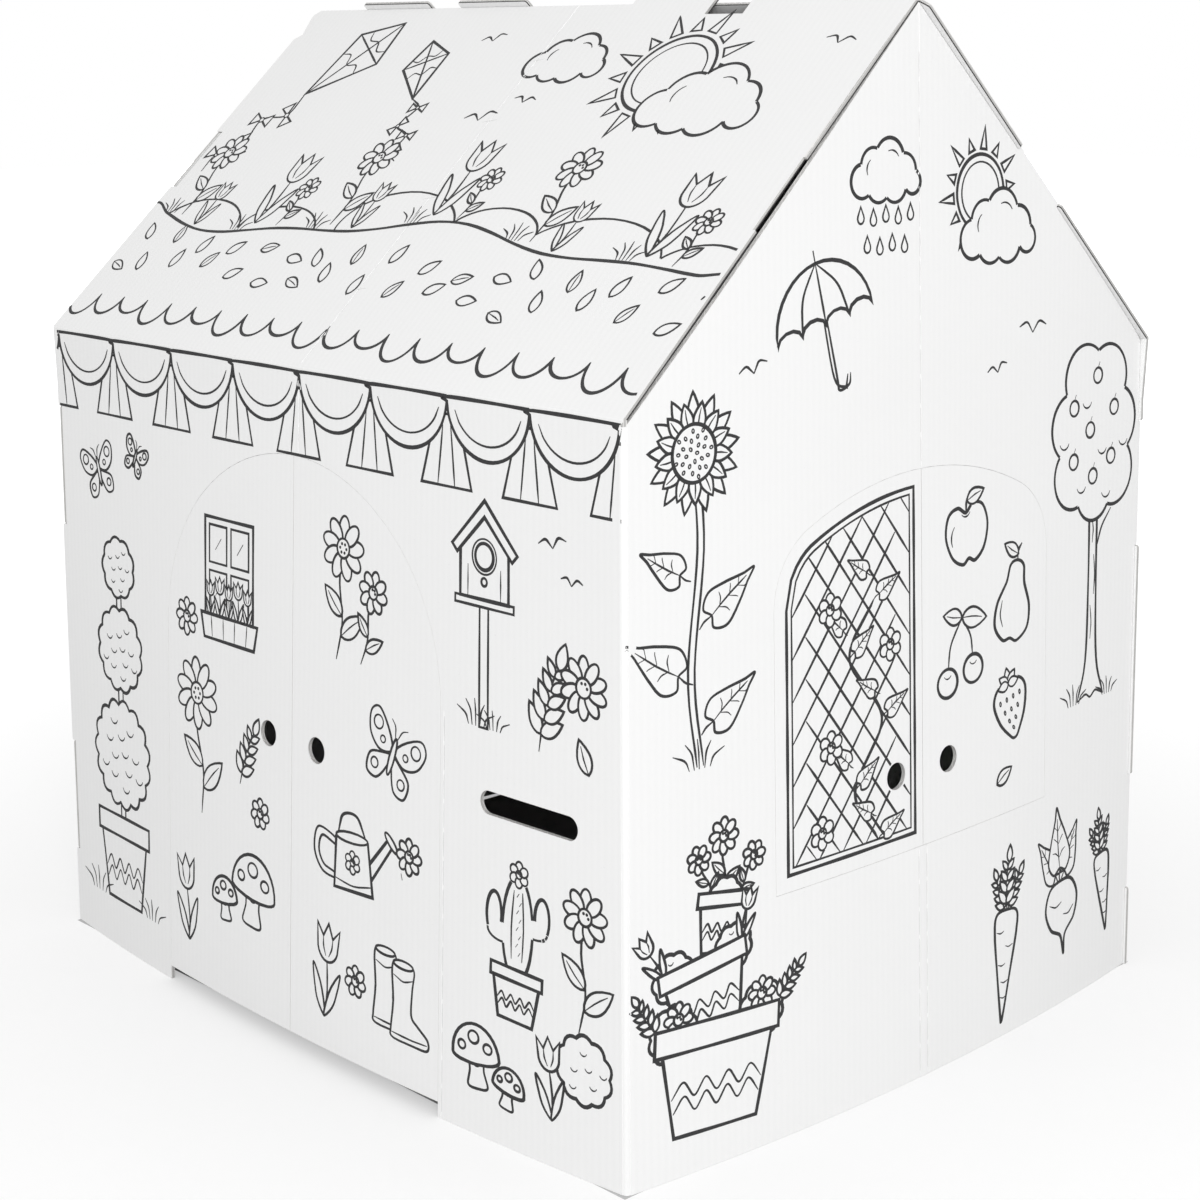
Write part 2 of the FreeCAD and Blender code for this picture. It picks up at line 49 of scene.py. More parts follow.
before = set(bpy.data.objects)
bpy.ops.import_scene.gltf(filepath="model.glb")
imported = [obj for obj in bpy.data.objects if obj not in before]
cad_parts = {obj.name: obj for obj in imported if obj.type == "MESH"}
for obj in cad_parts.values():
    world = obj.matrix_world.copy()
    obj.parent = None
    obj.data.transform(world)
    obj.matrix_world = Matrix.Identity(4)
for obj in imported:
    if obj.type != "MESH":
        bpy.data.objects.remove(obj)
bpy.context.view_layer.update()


# ---------------------------------------------------------------- the shape of the house

class Side(Enum):
    """The three panels of a folded sheet."""

    WALL = "wall"
    GABLE = "gable"
    ROOF = "roof"


@dataclass(frozen=True)
class House:
    """Sizes of the house in metres, read from the frame where it shows them."""

    half_width: float
    half_depth: float
    wall_bow: float
    gable_bow: float
    eave: float = 0.650
    ridge: float = 0.980
    board: float = 0.004

    @classmethod
    def from_frame(cls) -> "House":
        """Read the sizes from the boxes of the two sheets.

        Returns:
            The house's sizes.
        """
        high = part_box("front_sheet")[1]
        half_depth = high.y
        corners = [corner.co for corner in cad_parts["front_sheet"].data.vertices]
        half_width = round(max(co.x for co in corners if co.y < FRONT_SKIN - half_depth), 4)
        return cls(half_width, half_depth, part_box("rear_sheet")[1].y - half_depth, high.x - half_width)

    @property
    def slope(self) -> float:
        """Length of a roof slope, from the eave to the ridge."""
        return math.hypot(self.half_depth, self.ridge - self.eave)


@dataclass(frozen=True)
class Face:
    """The outer face of one panel: places on it, and depths below it.

    A place is (across, up): along X or Y from the panel's middle, and the height, or on a roof the way
    up the slope from the eave. A turned face belongs to the rear sheet, half a turn round.
    """

    house: House
    side: Side
    turned: bool = False

    @property
    def half_span(self) -> float:
        """Half the panel's width at the floor."""
        return self.house.half_depth if self.side is Side.GABLE else self.house.half_width

    @property
    def half_depth(self) -> float:
        """Half the depth of the house."""
        return self.house.half_depth

    @property
    def bow(self) -> float:
        """How far the middle of the panel stands out at the floor."""
        return {Side.WALL: self.house.wall_bow, Side.GABLE: self.house.gable_bow, Side.ROOF: 0.0}[self.side]

    @property
    def top(self) -> float:
        """Height at which the panel is straight."""
        return self.house.ridge if self.side is Side.GABLE else self.house.eave - self.house.board / 2

    @property
    def radius(self) -> float:
        """Radius of the bow at the floor."""
        return (self.half_span ** 2 + self.bow ** 2) / (2 * self.bow)

    @property
    def outward(self) -> Vector:
        """Direction that the flat panel faces, before it is turned.

        Returns:
            The unit vector.
        """
        if self.side is Side.WALL:
            return Vector((0.0, -1.0, 0.0))
        if self.side is Side.GABLE:
            return Vector((1.0, 0.0, 0.0))
        rise = self.house.ridge - self.house.eave
        return Vector((0.0, -rise, self.house.half_depth)) / self.house.slope

    @property
    def normal(self) -> Vector:
        """Direction that the flat panel faces, once turned."""
        out = self.outward
        return Vector((-out.x, -out.y, out.z)) if self.turned else out

    def stand_out(self, across: float, up: float) -> float:
        """How far the bow carries a place outwards.

        Args:
            across: Distance from the panel's middle.
            up: Height above the floor.

        Returns:
            The distance in metres.
        """
        if self.side is Side.ROOF:
            return 0.0
        sag = math.sqrt(self.radius ** 2 - across ** 2) - self.radius + self.bow
        return sag * (1 - up / self.top)

    def point(self, across: float, up: float) -> Vector:
        """A point on the face.

        Args:
            across: Distance from the panel's middle.
            up: Height, or the way up the slope.

        Returns:
            The point in the frame's axes.
        """
        out = self.stand_out(across, up)
        if self.side is Side.WALL:
            place = Vector((across, -(self.half_depth + out), up))
        elif self.side is Side.GABLE:
            place = Vector((self.house.half_width + out, across, up))
        else:
            foot = Vector((across, -self.half_depth, self.house.eave))
            way = Vector((0.0, self.half_depth, self.house.ridge - self.house.eave)) / self.house.slope
            place = foot + way * up
        return Vector((-place.x, -place.y, place.z)) if self.turned else place

    def depth(self, place: Vector) -> float:
        """Depth of a point below the outer face.

        Args:
            place: A point in the frame's axes.

        Returns:
            The depth in metres, negative outside the board.
        """
        x, y, z = (-place.x, -place.y, place.z) if self.turned else place
        if self.side is Side.WALL:
            return y + self.half_depth + self.stand_out(x, z)
        if self.side is Side.GABLE:
            return self.house.half_width + self.stand_out(y, z) - x
        return -(Vector((x, y, z)) - Vector((0, -self.half_depth, self.house.eave))).dot(self.outward)

    def facing(self, normal: Vector) -> float:
        """Cosine between a normal and the way that the panel faces.

        Args:
            normal: A unit normal in the frame's axes.

        Returns:
            The cosine, 1 on the outer face.
        """
        return normal.dot(self.normal)


# ---------------------------------------------------------------- finishes

Socket = bpy.types.NodeSocket
Value = Socket | float


class Recipe:
    """A material made a step at a time, with the object's own coordinates at hand."""

    def __init__(self, name: str) -> None:
        """Start a material with one shader and no colour yet.

        Args:
            name: The material's name.
        """
        self.material = bpy.data.materials.new(name)
        self.material.use_nodes = True
        self.tree = self.material.node_tree
        self.shader = next(node for node in self.tree.nodes if node.type == "BSDF_PRINCIPLED")
        self.place = self.add("ShaderNodeTexCoord").outputs["Object"]

    def add(self, kind: str, **settings: object) -> bpy.types.Node:
        """Add a node.

        Args:
            kind: The node's type.
            settings: Properties to set on it.

        Returns:
            The node.
        """
        node = self.tree.nodes.new(kind)
        for key, value in settings.items():
            setattr(node, key, value)
        return node

    def feed(self, socket: Socket, value: Value) -> None:
        """Link a socket to another, or set its value.

        Args:
            socket: The input.
            value: What it takes.
        """
        if isinstance(value, Socket):
            self.tree.links.new(value, socket)
        else:
            socket.default_value = value

    def sum(self, operation: str, *terms: Value) -> Socket:
        """One step of arithmetic.

        Args:
            operation: The Math node's operation.
            terms: Its inputs.

        Returns:
            The result.
        """
        node = self.add("ShaderNodeMath", operation=operation)
        for socket, term in zip(node.inputs, terms):
            self.feed(socket, term)
        return node.outputs[0]

    def axes(self, turned: bool = False) -> tuple[Socket, Socket, Socket]:
        """The object's own coordinates.

        Args:
            turned: Whether to turn them back to the front sheet's place.

        Returns:
            X, Y and Z.
        """
        parts = self.add("ShaderNodeSeparateXYZ")
        self.feed(parts.inputs[0], self.place)
        x, y, z = parts.outputs
        if turned:
            x, y = self.sum("MULTIPLY", x, -1.0), self.sum("MULTIPLY", y, -1.0)
        return x, y, z

    def noise(self, scale: float, detail: float = 2.0, stretch: Triple = PLAIN) -> Socket:
        """Cloudy noise about one half.

        Args:
            scale: Blotches to the metre.
            detail: Octaves.
            stretch: How much finer it is along each axis.

        Returns:
            The noise's value.
        """
        spread = self.add("ShaderNodeMapping")
        spread.inputs["Scale"].default_value = stretch
        self.feed(spread.inputs["Vector"], self.place)
        node = self.add("ShaderNodeTexNoise")
        node.inputs["Scale"].default_value = scale
        node.inputs["Detail"].default_value = detail
        self.feed(node.inputs["Vector"], spread.outputs[0])
        return node.outputs[0]

    def about(self, base: Value, wander: Socket, amount: float) -> Socket:
        """A value that wanders with a noise by an amount each way."""
        swing = self.sum("MULTIPLY", self.sum("SUBTRACT", wander, 0.5), 2 * amount)
        return self.sum("ADD", swing, base)

    def grey(self, level: Socket, tint: Triple) -> Socket:
        """A colour of one level, with a tint.

        Args:
            level: How light it is.
            tint: Shares of red, green and blue.

        Returns:
            The colour.
        """
        node = self.add("ShaderNodeCombineColor")
        for socket, share in zip(node.inputs, tint):
            self.feed(socket, level if share == 1.0 else self.sum("MULTIPLY", level, share))
        return node.outputs[0]

    def band(self, value: Socket, low: float, high: float) -> Socket:
        """1 where a value lies between two limits, else 0."""
        return self.sum("MULTIPLY", self.sum("GREATER_THAN", value, low), self.sum("LESS_THAN", value, high))

    def bump(self, height: Socket, distance: float) -> None:
        """Raise the surface by a height field.

        Args:
            height: The field.
            distance: What a height of 1 stands for, in metres.
        """
        node = self.add("ShaderNodeBump")
        node.inputs["Distance"].default_value = distance
        node.inputs["Strength"].default_value = 1.0
        self.feed(node.inputs["Height"], height)
        self.feed(self.shader.inputs["Normal"], node.outputs[0])

    def done(self, level: Socket, tint: Triple, roughness: Value, shine: float) -> bpy.types.Material:
        """Give the shader its colour and its sheen.

        Args:
            level: How light the colour is.
            tint: Shares of red, green and blue.
            roughness: How dull the surface is, from 0 to 1.
            shine: Strength of its mirror light, 0.5 for plain lacquer.

        Returns:
            The material.
        """
        self.feed(self.shader.inputs["Base Color"], self.grey(level, tint))
        self.feed(self.shader.inputs["Roughness"], roughness)
        self.shader.inputs["Specular IOR Level"].default_value = shine
        return self.material


@dataclass(frozen=True)
class Paper:
    """White coated paper over flutes, which show through as a faint washboard."""

    tone: float = 0.895
    # painted shade: the roof slopes are the same paper, given a darker tone for the less light that falls on
    # them
    roof_shaded_tone: float = 0.847
    tint: Triple = (1.0, 1.0, 0.998)
    washboard: float = 0.006
    drift: float = 0.004                # metres that the flutes wander
    mottle: float = 0.012
    fibre: float = 0.010
    grain: Triple = (1.0, 1.0, 0.45)    # fibres are longest upwards
    speck: float = 0.10                 # how much darker a speck is
    speck_level: float = 0.235          # noise under which there is one
    roughness: float = 0.72
    scuffing: float = 0.10
    shine: float = 0.25
    relief: float = 0.00003             # metres

    def material(self, face: Face) -> bpy.types.Material:
        """Make the paper of one panel.

        Args:
            face: The panel, whose flutes run up it.

        Returns:
            The material.
        """
        recipe = Recipe(f"paper_{face.side.value}")
        x, y, _ = recipe.axes()
        across = y if face.side is Side.GABLE else x
        drift = recipe.sum("MULTIPLY", recipe.noise(9.0), self.drift)
        phase = recipe.sum("MULTIPLY", recipe.sum("ADD", across, drift), math.tau / FLUTE)
        wave = recipe.sum("SINE", phase)
        fibres = recipe.noise(420.0, 3.0, self.grain)
        # Painted shade: the roof slopes take a darker copy of the same paper.
        tone = self.roof_shaded_tone if face.side is Side.ROOF else self.tone
        level = recipe.about(tone, recipe.noise(7.0, 3.0), self.mottle)
        level = recipe.about(level, fibres, self.fibre)
        level = recipe.sum("MULTIPLY_ADD", wave, self.washboard, level)
        specks = recipe.band(recipe.noise(900.0, 1.0), 0.0, self.speck_level)
        level = recipe.sum("MULTIPLY_ADD", specks, -self.speck, level)
        recipe.bump(recipe.sum("MULTIPLY_ADD", wave, 0.5, fibres), self.relief)
        dullness = recipe.about(self.roughness, fibres, self.scuffing)
        return recipe.done(level, self.tint, dullness, self.shine)


@dataclass(frozen=True)
class CutEdge:
    """A cut through the board: two papers with a waved one between them, and painted shade in the open flutes.
    """

    paper: float = 0.82
    medium: float = 0.74
    # painted shade in the open flutes between the papers and the waved one
    hollow_shade: float = 0.50
    tint: Triple = (1.0, 0.99, 0.97)
    paper_thickness: float = 0.00048
    medium_thickness: float = 0.00034
    raggedness: float = 0.00022    # metres that the papers wander
    joint_shade_depth: float = 0.0013          # inner part of a roof's edge, darkened with painted shade where it sits on the gable
    joint_shade_share: float = 0.08      # of its lightness that the painted shade leaves there
    patchiness: float = 0.10
    roughness: float = 0.85
    scuffing: float = 0.10
    shine: float = 0.15
    relief: float = 0.0002         # metres

    def material(self, face: Face) -> bpy.types.Material:
        """Make the cut edges of one panel.

        Args:
            face: The panel that the edges belong to.

        Returns:
            The material.
        """
        recipe = Recipe(f"cut_{face.side.value}{'_rear' if face.turned else ''}")
        board = face.house.board
        ragged = recipe.noise(1300.0, 2.0)
        depth = recipe.about(self.below_face(recipe, face), ragged, self.raggedness)
        across = recipe.axes(face.turned)[1 if face.side is Side.GABLE else 0]
        wave = recipe.sum("SINE", recipe.sum("MULTIPLY", across, math.tau / FLUTE))
        swing = board / 2 - self.paper_thickness
        middle = recipe.sum("MULTIPLY_ADD", wave, swing, board / 2)
        off_middle = recipe.sum("ABSOLUTE", recipe.sum("SUBTRACT", depth, middle))
        medium = recipe.sum("LESS_THAN", off_middle, self.medium_thickness)
        inside = recipe.band(depth, self.paper_thickness, board - self.paper_thickness)
        # The waved paper keeps its own tone; between its waves the open flutes get painted shade.
        core = recipe.sum("MULTIPLY_ADD", medium, self.medium - self.hollow_shade, self.hollow_shade)
        level = recipe.sum("MULTIPLY_ADD", inside, recipe.sum("SUBTRACT", core, self.paper), self.paper)
        level = recipe.about(level, recipe.noise(60.0, 3.0), self.patchiness)
        # Painted shade: the inner part of a roof's cut edge is darkened where it sits close over the gable.
        if face.side is Side.ROOF:
            open_part = recipe.sum("LESS_THAN", depth, board - self.joint_shade_depth)
            light = recipe.sum("MULTIPLY_ADD", open_part, 1.0 - self.joint_shade_share, self.joint_shade_share)
            level = recipe.sum("MULTIPLY", level, light)
        recipe.bump(recipe.sum("ADD", level, ragged), self.relief)
        dullness = recipe.about(self.roughness, ragged, self.scuffing)
        return recipe.done(level, self.tint, dullness, self.shine)

    def below_face(self, recipe: Recipe, face: Face) -> Socket:
        """Depth of the shaded point below the panel's outer face, bow and all.

        Args:
            recipe: The material being made.
            face: The panel.

        Returns:
            The depth in metres.
        """
        x, y, z = recipe.axes(face.turned)
        if face.side is Side.ROOF:
            lift = recipe.sum("MULTIPLY", recipe.sum("SUBTRACT", z, face.house.eave), -face.outward.z)
            return recipe.sum("MULTIPLY_ADD", recipe.sum("ADD", y, face.half_depth), -face.outward.y, lift)
        across = y if face.side is Side.GABLE else x
        squared = recipe.sum("SUBTRACT", face.radius ** 2, recipe.sum("MULTIPLY", across, across))
        sag = recipe.sum("ADD", recipe.sum("SQRT", squared), face.bow - face.radius)
        fade = recipe.sum("MULTIPLY_ADD", z, -1 / face.top, 1.0)
        out = recipe.sum("MULTIPLY", sag, fade)
        if face.side is Side.WALL:
            return recipe.sum("ADD", recipe.sum("ADD", y, face.half_depth), out)
        return recipe.sum("ADD", recipe.sum("SUBTRACT", face.house.half_width, x), out)


@dataclass(frozen=True)
class Patchy:
    """A finish of one tone that isn't quite even."""

    name: str
    tone: float
    tint: Triple
    patches: float       # to the metre
    patchiness: float
    roughness: float
    scuffing: float
    shine: float = 0.2

    def material(self) -> bpy.types.Material:
        """Make the finish.

        Returns:
            The material.
        """
        recipe = Recipe(self.name)
        level = recipe.about(self.tone, recipe.noise(self.patches, 3.0), self.patchiness)
        dullness = recipe.about(self.roughness, recipe.noise(500.0), self.scuffing)
        return recipe.done(level, self.tint, dullness, self.shine)


@dataclass(frozen=True)
class Crease(Patchy):
    """Painted shade along a score, where the paper is pressed in: a tone darker than the face."""

    name: str = "painted_score_shade"
    tone: float = 0.70
    tint: Triple = (1.0, 1.0, 0.995)
    patches: float = 180.0
    patchiness: float = 0.08
    roughness: float = 0.8
    scuffing: float = 0.08


@dataclass(frozen=True)
class Ink(Patchy):
    """Dark printing ink, a little thinner where the paper took less of it."""

    name: str = "printing_ink"
    tone: float = 0.043
    tint: Triple = (1.0, 1.0, 1.03)
    patches: float = 260.0
    patchiness: float = 0.012
    roughness: float = 0.55
    scuffing: float = 0.12


@dataclass(frozen=True)
class Board:
    """Dresses a packed sheet or flap: paper on its faces, cut edges round them."""

    house: House
    paper: Paper = Paper()
    cut: CutEdge = CutEdge()
    skin: float = 0.0007    # metres below either face where a cut edge begins
    edge_on: float = 0.3    # cosine to the face's own direction under which a surface is a cut
    made: dict[tuple[Side, bool, bool], bpy.types.Material] = field(default_factory=dict)

    def finish(self, face: Face, edge: bool) -> bpy.types.Material:
        """The finish of one panel's faces or edges, made once.

        Args:
            face: The panel.
            edge: Whether it is for the cut edges.

        Returns:
            The material.
        """
        key = (face.side, face.turned and edge, edge)
        if key not in self.made:
            self.made[key] = (self.cut if edge else self.paper).material(face)
        return self.made[key]

    def dress(self, node: str, sides: tuple[Side, ...], turned: bool) -> None:
        """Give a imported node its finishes, face by face.

        Args:
            node: The node's name.
            sides: The panels that it is made of.
            turned: Whether it belongs to the rear sheet.
        """
        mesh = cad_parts[node].data
        mesh.materials.clear()
        faces = [Face(self.house, side, turned) for side in sides]
        finishes = [self.finish(face, edge) for face in faces for edge in (False, True)]
        for finish in finishes:
            mesh.materials.append(finish)
        cuts = 0
        for polygon in mesh.polygons:
            index = self.classify(polygon.center, polygon.normal, faces)
            polygon.material_index = index
            cuts += index % 2
        LOG.info("%s: %d faces, %d of them on cut edges", node, len(mesh.polygons), cuts)

    def classify(self, centre: Vector, normal: Vector, faces: list[Face]) -> int:
        """Tell which finish a face of the mesh takes.

        Args:
            centre: The middle of the face.
            normal: Its normal.
            faces: The panels of its node.

        Returns:
            Twice the panel's number, and one more on a cut edge.
        """
        for number, face in enumerate(faces):
            depth = face.depth(centre)
            in_cut = self.skin < depth < self.house.board - self.skin
            if in_cut and abs(face.facing(normal)) < self.edge_on:
                return 2 * number + 1
        return 2 * max(range(len(faces)), key=lambda number: abs(faces[number].facing(normal)))


# ---------------------------------------------------------------- pen and paper

Place = tuple[float, float]
NEW_FAMILY = itertools.count(1)
BROAD, FINE = 3.3, 2.4               # widths of the pen in millimetres
SCORE, DASH, GAP = 0.8, 22.0, 4.0    # width of a score, its dashes and the gaps between them
TRACE_STEP = 1.0                     # millimetres between the points of a traced line
SWELL_EVERY, SWELL = 95.0, 0.12      # how often a line swells, in millimetres, and by what share
TAPER, TIP = 14.0, 0.42              # how far from its end a line tapers, and to what share
CRUMB = 3                            # a stretch of no more points than this is dropped
BEND, STRAIGHT = 0.10, 14            # a point is kept where a line has turned so far, or after so many
WINDING = 137.5                      # degrees from one seed or leaf to the next, as plants grow them


@dataclass(frozen=True)
class Mark:
    """One pen line, in millimetres.

    A solid mark hides what was drawn before inside it. Marks of one family hide each other there, which
    leaves the outline of them all.
    """

    places: np.ndarray
    width: float
    smooth: bool = True
    closed: bool = False
    solid: bool = False
    family: int = 0

    def trace(self) -> np.ndarray:
        """Follow the line.

        Returns:
            Points a step apart; a closed line ends where it starts.
        """
        places = self.places
        if self.closed:
            ring = np.vstack([places[-1:], places, places[:2]])
        else:
            ring = np.vstack([2 * places[:1] - places[1:2], places, 2 * places[-1:] - places[-2:-1]])
        runs = []
        for before, start, end, after in zip(ring, ring[1:], ring[2:], ring[3:]):
            length = max(TRACE_STEP, np.linalg.norm(end - start))
            t = np.arange(0.0, 0.999, TRACE_STEP / length)[:, None]
            if self.smooth:
                curl = 2 * before - 5 * start + 4 * end - after + t * (3 * (start - end) + after - before)
                runs.append(start + t / 2 * (end - before + t * curl))
            else:
                runs.append(start + t * (end - start))
        runs.append(ring[-2:-1])
        return np.vstack(runs)

    def pressure(self, trace: np.ndarray) -> np.ndarray:
        """Width of the line at each point: it swells a little, from its own start, and tapers at free ends.

        Args:
            trace: The traced line.

        Returns:
            The widths.
        """
        way = np.concatenate([[0.0], np.cumsum(np.linalg.norm(np.diff(trace, axis=0), axis=1))])
        swells = max(1, round(way[-1] / SWELL_EVERY))
        own_start = float(trace[0].sum() * 0.37)
        wave = np.sin(math.tau * swells * way / max(way[-1], 1.0) + own_start)
        width = self.width * (1 + SWELL * wave)
        if not self.closed:
            to_end = np.minimum(way, way[-1] - way)
            width *= np.clip(TIP + to_end / TAPER, 0.0, 1.0)
        return width


def within(points: np.ndarray, outline: np.ndarray) -> np.ndarray:
    """Tell which points lie inside a closed outline.

    Args:
        points: The points.
        outline: The outline's corners.

    Returns:
        True for each point inside.
    """
    x, y = points[:, :1], points[:, 1:]
    (ax, ay), (bx, by) = outline.T, np.roll(outline, -1, axis=0).T
    rise = np.where(by == ay, 1.0, by - ay)
    hits = ((ay > y) != (by > y)) & (x < ax + (y - ay) * (bx - ax) / rise)
    return hits.sum(axis=1) % 2 == 1


@dataclass(frozen=True)
class Stroke:
    """A stretch of line as it is printed."""

    points: np.ndarray
    widths: np.ndarray

    def share(self, kept: np.ndarray) -> list["Stroke"]:
        """The stretches of it that are kept.

        Args:
            kept: True for each point that stays.

        Returns:
            The stretches, without crumbs.
        """
        points, widths = self.points, self.widths
        if kept.all():
            return [self]
        if np.allclose(points[0], points[-1]) and kept[0]:
            turn = -int(np.argmin(kept))
            points, widths = (np.roll(part[:-1], turn, axis=0) for part in (points, widths))
            kept = np.roll(kept[:-1], turn)
        edges = np.flatnonzero(np.diff(np.concatenate([[0], kept.astype(int), [0]])))
        pairs = [(low, high) for low, high in edges.reshape(-1, 2) if high - low > CRUMB]
        return [Stroke(points[low:high], widths[low:high]) for low, high in pairs]

    def thinned(self) -> "Stroke":
        """The same line with points only where it turns, or every so often.

        Returns:
            The thinned line.
        """
        steps = np.diff(self.points, axis=0)
        heading = np.unwrap(np.arctan2(steps[:, 1], steps[:, 0]))
        kept = [0]
        for index in range(1, len(heading)):
            if abs(heading[index] - heading[kept[-1]]) > BEND or index - kept[-1] >= STRAIGHT:
                kept.append(index)
        kept.append(len(self.points) - 1)
        return Stroke(self.points[kept], self.widths[kept])


class Drawing:
    """Pen lines in the order in which they are drawn."""

    def __init__(self) -> None:
        """Start with an empty sheet."""
        self.marks: list[Mark] = []

    def add(self, places: Sequence[Place], width: float, **how: object) -> "Drawing":
        """Draw a mark; how it runs is said as for Mark."""
        self.marks.append(Mark(np.array(places, dtype=float), width, **how))
        return self

    def line(self, *places: Place, width: float = FINE) -> "Drawing":
        """Draw straight lines from place to place."""
        return self.add(places, width, smooth=False)

    def curve(self, *places: Place, width: float = FINE) -> "Drawing":
        """Draw a smooth line through places."""
        return self.add(places, width)

    def shape(self, *places: Place, width: float = BROAD, **how: object) -> "Drawing":
        """Draw a smooth closed outline that hides what is behind it."""
        return self.add(places, width, closed=True, **{"solid": True, **how})

    def plate(self, *places: Place, width: float = BROAD, **how: object) -> "Drawing":
        """Draw a straight-sided closed outline that hides what is behind it."""
        return self.shape(*places, width=width, smooth=False, **how)

    def dashes(self, across: float, low: float, high: float) -> "Drawing":
        """Draw the dashes of an upright score.

        Args:
            across: Its place across the panel.
            low: Its lower end.
            high: Its upper end.

        Returns:
            The drawing.
        """
        for number in range(int((high - low) / (DASH + GAP))):
            foot = low + (DASH + GAP) * number
            self.line((across, foot), (across, foot + DASH), width=SCORE)
        return self

    def block(self, foot: float, low: float, top: float, high: float, width: float = BROAD) -> "Drawing":
        """Draw a plate about the Y axis with a level foot and top.

        Args:
            foot: Half its width at the foot.
            low: Height of the foot.
            top: Half its width at the top.
            high: Height of the top.
            width: Width of the pen.

        Returns:
            The drawing.
        """
        return self.plate((-foot, low), (foot, low), (top, high), (-top, high), width=width)

    def oval(self, centre: Place, wide: float, tall: float = 0.0, turn: float = 0.0,
             width: float = FINE, **how: object) -> "Drawing":
        """Draw an oval.

        Args:
            centre: Its middle.
            wide: Half its width.
            tall: Half its height, where it isn't round.
            turn: Degrees that it is turned, anticlockwise.
            width: Width of the pen.
            how: Anything else for Mark.

        Returns:
            The drawing.
        """
        ring = arc_places(centre, wide, tall or wide, 0.0, 330.0, 30.0)
        return self.shape(*spun(ring, turn, centre), width=width, **how)

    def arc(self, centre: Place, wide: float, start: float, end: float, tall: float = 0.0, *,
            width: float) -> "Drawing":
        """Draw part of an oval.

        Args:
            centre: Its middle.
            wide: Half its width.
            start: Angle where it begins, in degrees.
            end: Angle where it ends.
            tall: Half its height, where it isn't round.
            width: Width of the pen.

        Returns:
            The drawing.
        """
        return self.curve(*arc_places(centre, wide, tall or wide, start, end, 18.0), width=width)

    def place(self, other: "Drawing", at: Place = (0.0, 0.0), scale: float = 1.0,
              turn: float = 0.0) -> "Drawing":
        """Draw another drawing on this one.

        Args:
            other: The drawing.
            at: Where its origin goes.
            scale: How much larger it is drawn, with the same pen.
            turn: Degrees that it is turned, anticlockwise.

        Returns:
            This drawing.
        """
        families: dict[int, int] = {}
        for mark in other.marks:
            places = np.array(spun(mark.places * scale, turn)) + at
            family = families.setdefault(mark.family, next(NEW_FAMILY)) if mark.family else 0
            self.marks.append(replace(mark, places=places, family=family))
        return self

    def scaled(self, size: float, drawn: float) -> "Drawing":
        """The same drawing at a size, from the size that it is drawn at, with the same pen."""
        return Drawing().place(self, scale=size / drawn)

    def strokes(self) -> list[Stroke]:
        """Work out what of every line can be seen.

        Returns:
            The visible stretches.
        """
        traces = [mark.trace() for mark in self.marks]
        low = np.array([trace.min(axis=0) for trace in traces])
        high = np.array([trace.max(axis=0) for trace in traces])
        solid = np.array([mark.solid for mark in self.marks])
        family = np.array([mark.family for mark in self.marks])
        order = np.arange(len(traces))
        seen_strokes = []
        for number, (mark, trace) in enumerate(zip(self.marks, traces)):
            near = ((low <= high[number]) & (high >= low[number])).all(axis=1)
            kin = (family == mark.family) & (family > 0) & (order != number)
            hidden = np.zeros(len(trace), dtype=bool)
            for other in np.flatnonzero(near & ((solid & (order > number)) | kin)):
                hidden |= within(trace, traces[other])
            seen_strokes += Stroke(trace, mark.pressure(trace)).share(~hidden)
        return seen_strokes


def both_sides(*left: Place) -> list[Place]:
    """An outline that is the same on both sides of the Y axis, from its left side."""
    return [*left, *((-x, y) for x, y in reversed(left) if x)]


def arc_places(centre: Place, wide: float, tall: float, start: float, end: float, step: float) -> list[Place]:
    """Places along an oval.

    Args:
        centre: Its middle.
        wide: Half its width.
        tall: Half its height.
        start: First angle in degrees.
        end: Last angle.
        step: About how far apart the places are, in degrees.

    Returns:
        The places.
    """
    count = max(2, round(abs(end - start) / step) + 1)
    angles = np.radians(np.linspace(start, end, count))
    return [(centre[0] + wide * math.cos(a), centre[1] + tall * math.sin(a)) for a in angles]


def spun(places: Sequence[Place], degrees: float, about: Place = (0.0, 0.0)) -> list[Place]:
    """Places turned anticlockwise about a point.

    Args:
        places: The places.
        degrees: How far they turn.
        about: The point.

    Returns:
        The turned places.
    """
    cosine, sine = math.cos(math.radians(degrees)), math.sin(math.radians(degrees))
    away = [(x - about[0], y - about[1]) for x, y in places]
    return [(about[0] + x * cosine - y * sine, about[1] + x * sine + y * cosine) for x, y in away]


# ---------------------------------------------------------------- garden drawings

def leaf(length: float, width: float, pen: float = FINE, rib: bool = True) -> Drawing:
    """A pointed leaf that lies along X from the origin.

    Args:
        length: Its length.
        width: Half its width.
        pen: Width of the pen.
        rib: Whether it has a midrib.

    Returns:
        The drawing.
    """
    steps = np.linspace(0.0, 1.0, 13)
    swell = [width * math.sin(math.pi * t ** 0.8) ** 0.85 if 0 < t < 1 else 0.0 for t in steps]
    upper = [(length * t, rise) for t, rise in zip(steps, swell)]
    lower = [(x, -rise) for x, rise in upper[:0:-1]]
    picture = Drawing().plate(*upper[:-1], *lower, width=pen)
    if rib:
        picture.curve((0.0, 0.0), (length * 0.45, width * 0.1), (length * 0.82, 0.0), width=1.6)
    return picture


def flower(petals: int, reach: float, heart: float, pen: float = FINE) -> Drawing:
    """The head of a daisy, seen from the front.

    Args:
        petals: How many petals.
        reach: Radius over the petals.
        heart: Radius of the disc.
        pen: Width of the pen.

    Returns:
        The drawing.
    """
    picture = Drawing()
    half = (reach - heart * 0.6) / 2
    for number in range(petals):
        turn = 360 / petals * number + 90
        middle = spun([(reach - half, 0.0)], turn)[0]
        picture.oval(middle, half, reach * math.sin(math.pi / petals) * 0.72, turn, pen)
    picture.oval((0.0, 0.0), heart, width=pen)
    for number in range(3 if heart < 9 else 6):
        picture.oval(spun([(heart * 0.5, 0.0)], 60 * number)[0], max(0.8, heart * 0.09), width=1.3)
    return picture


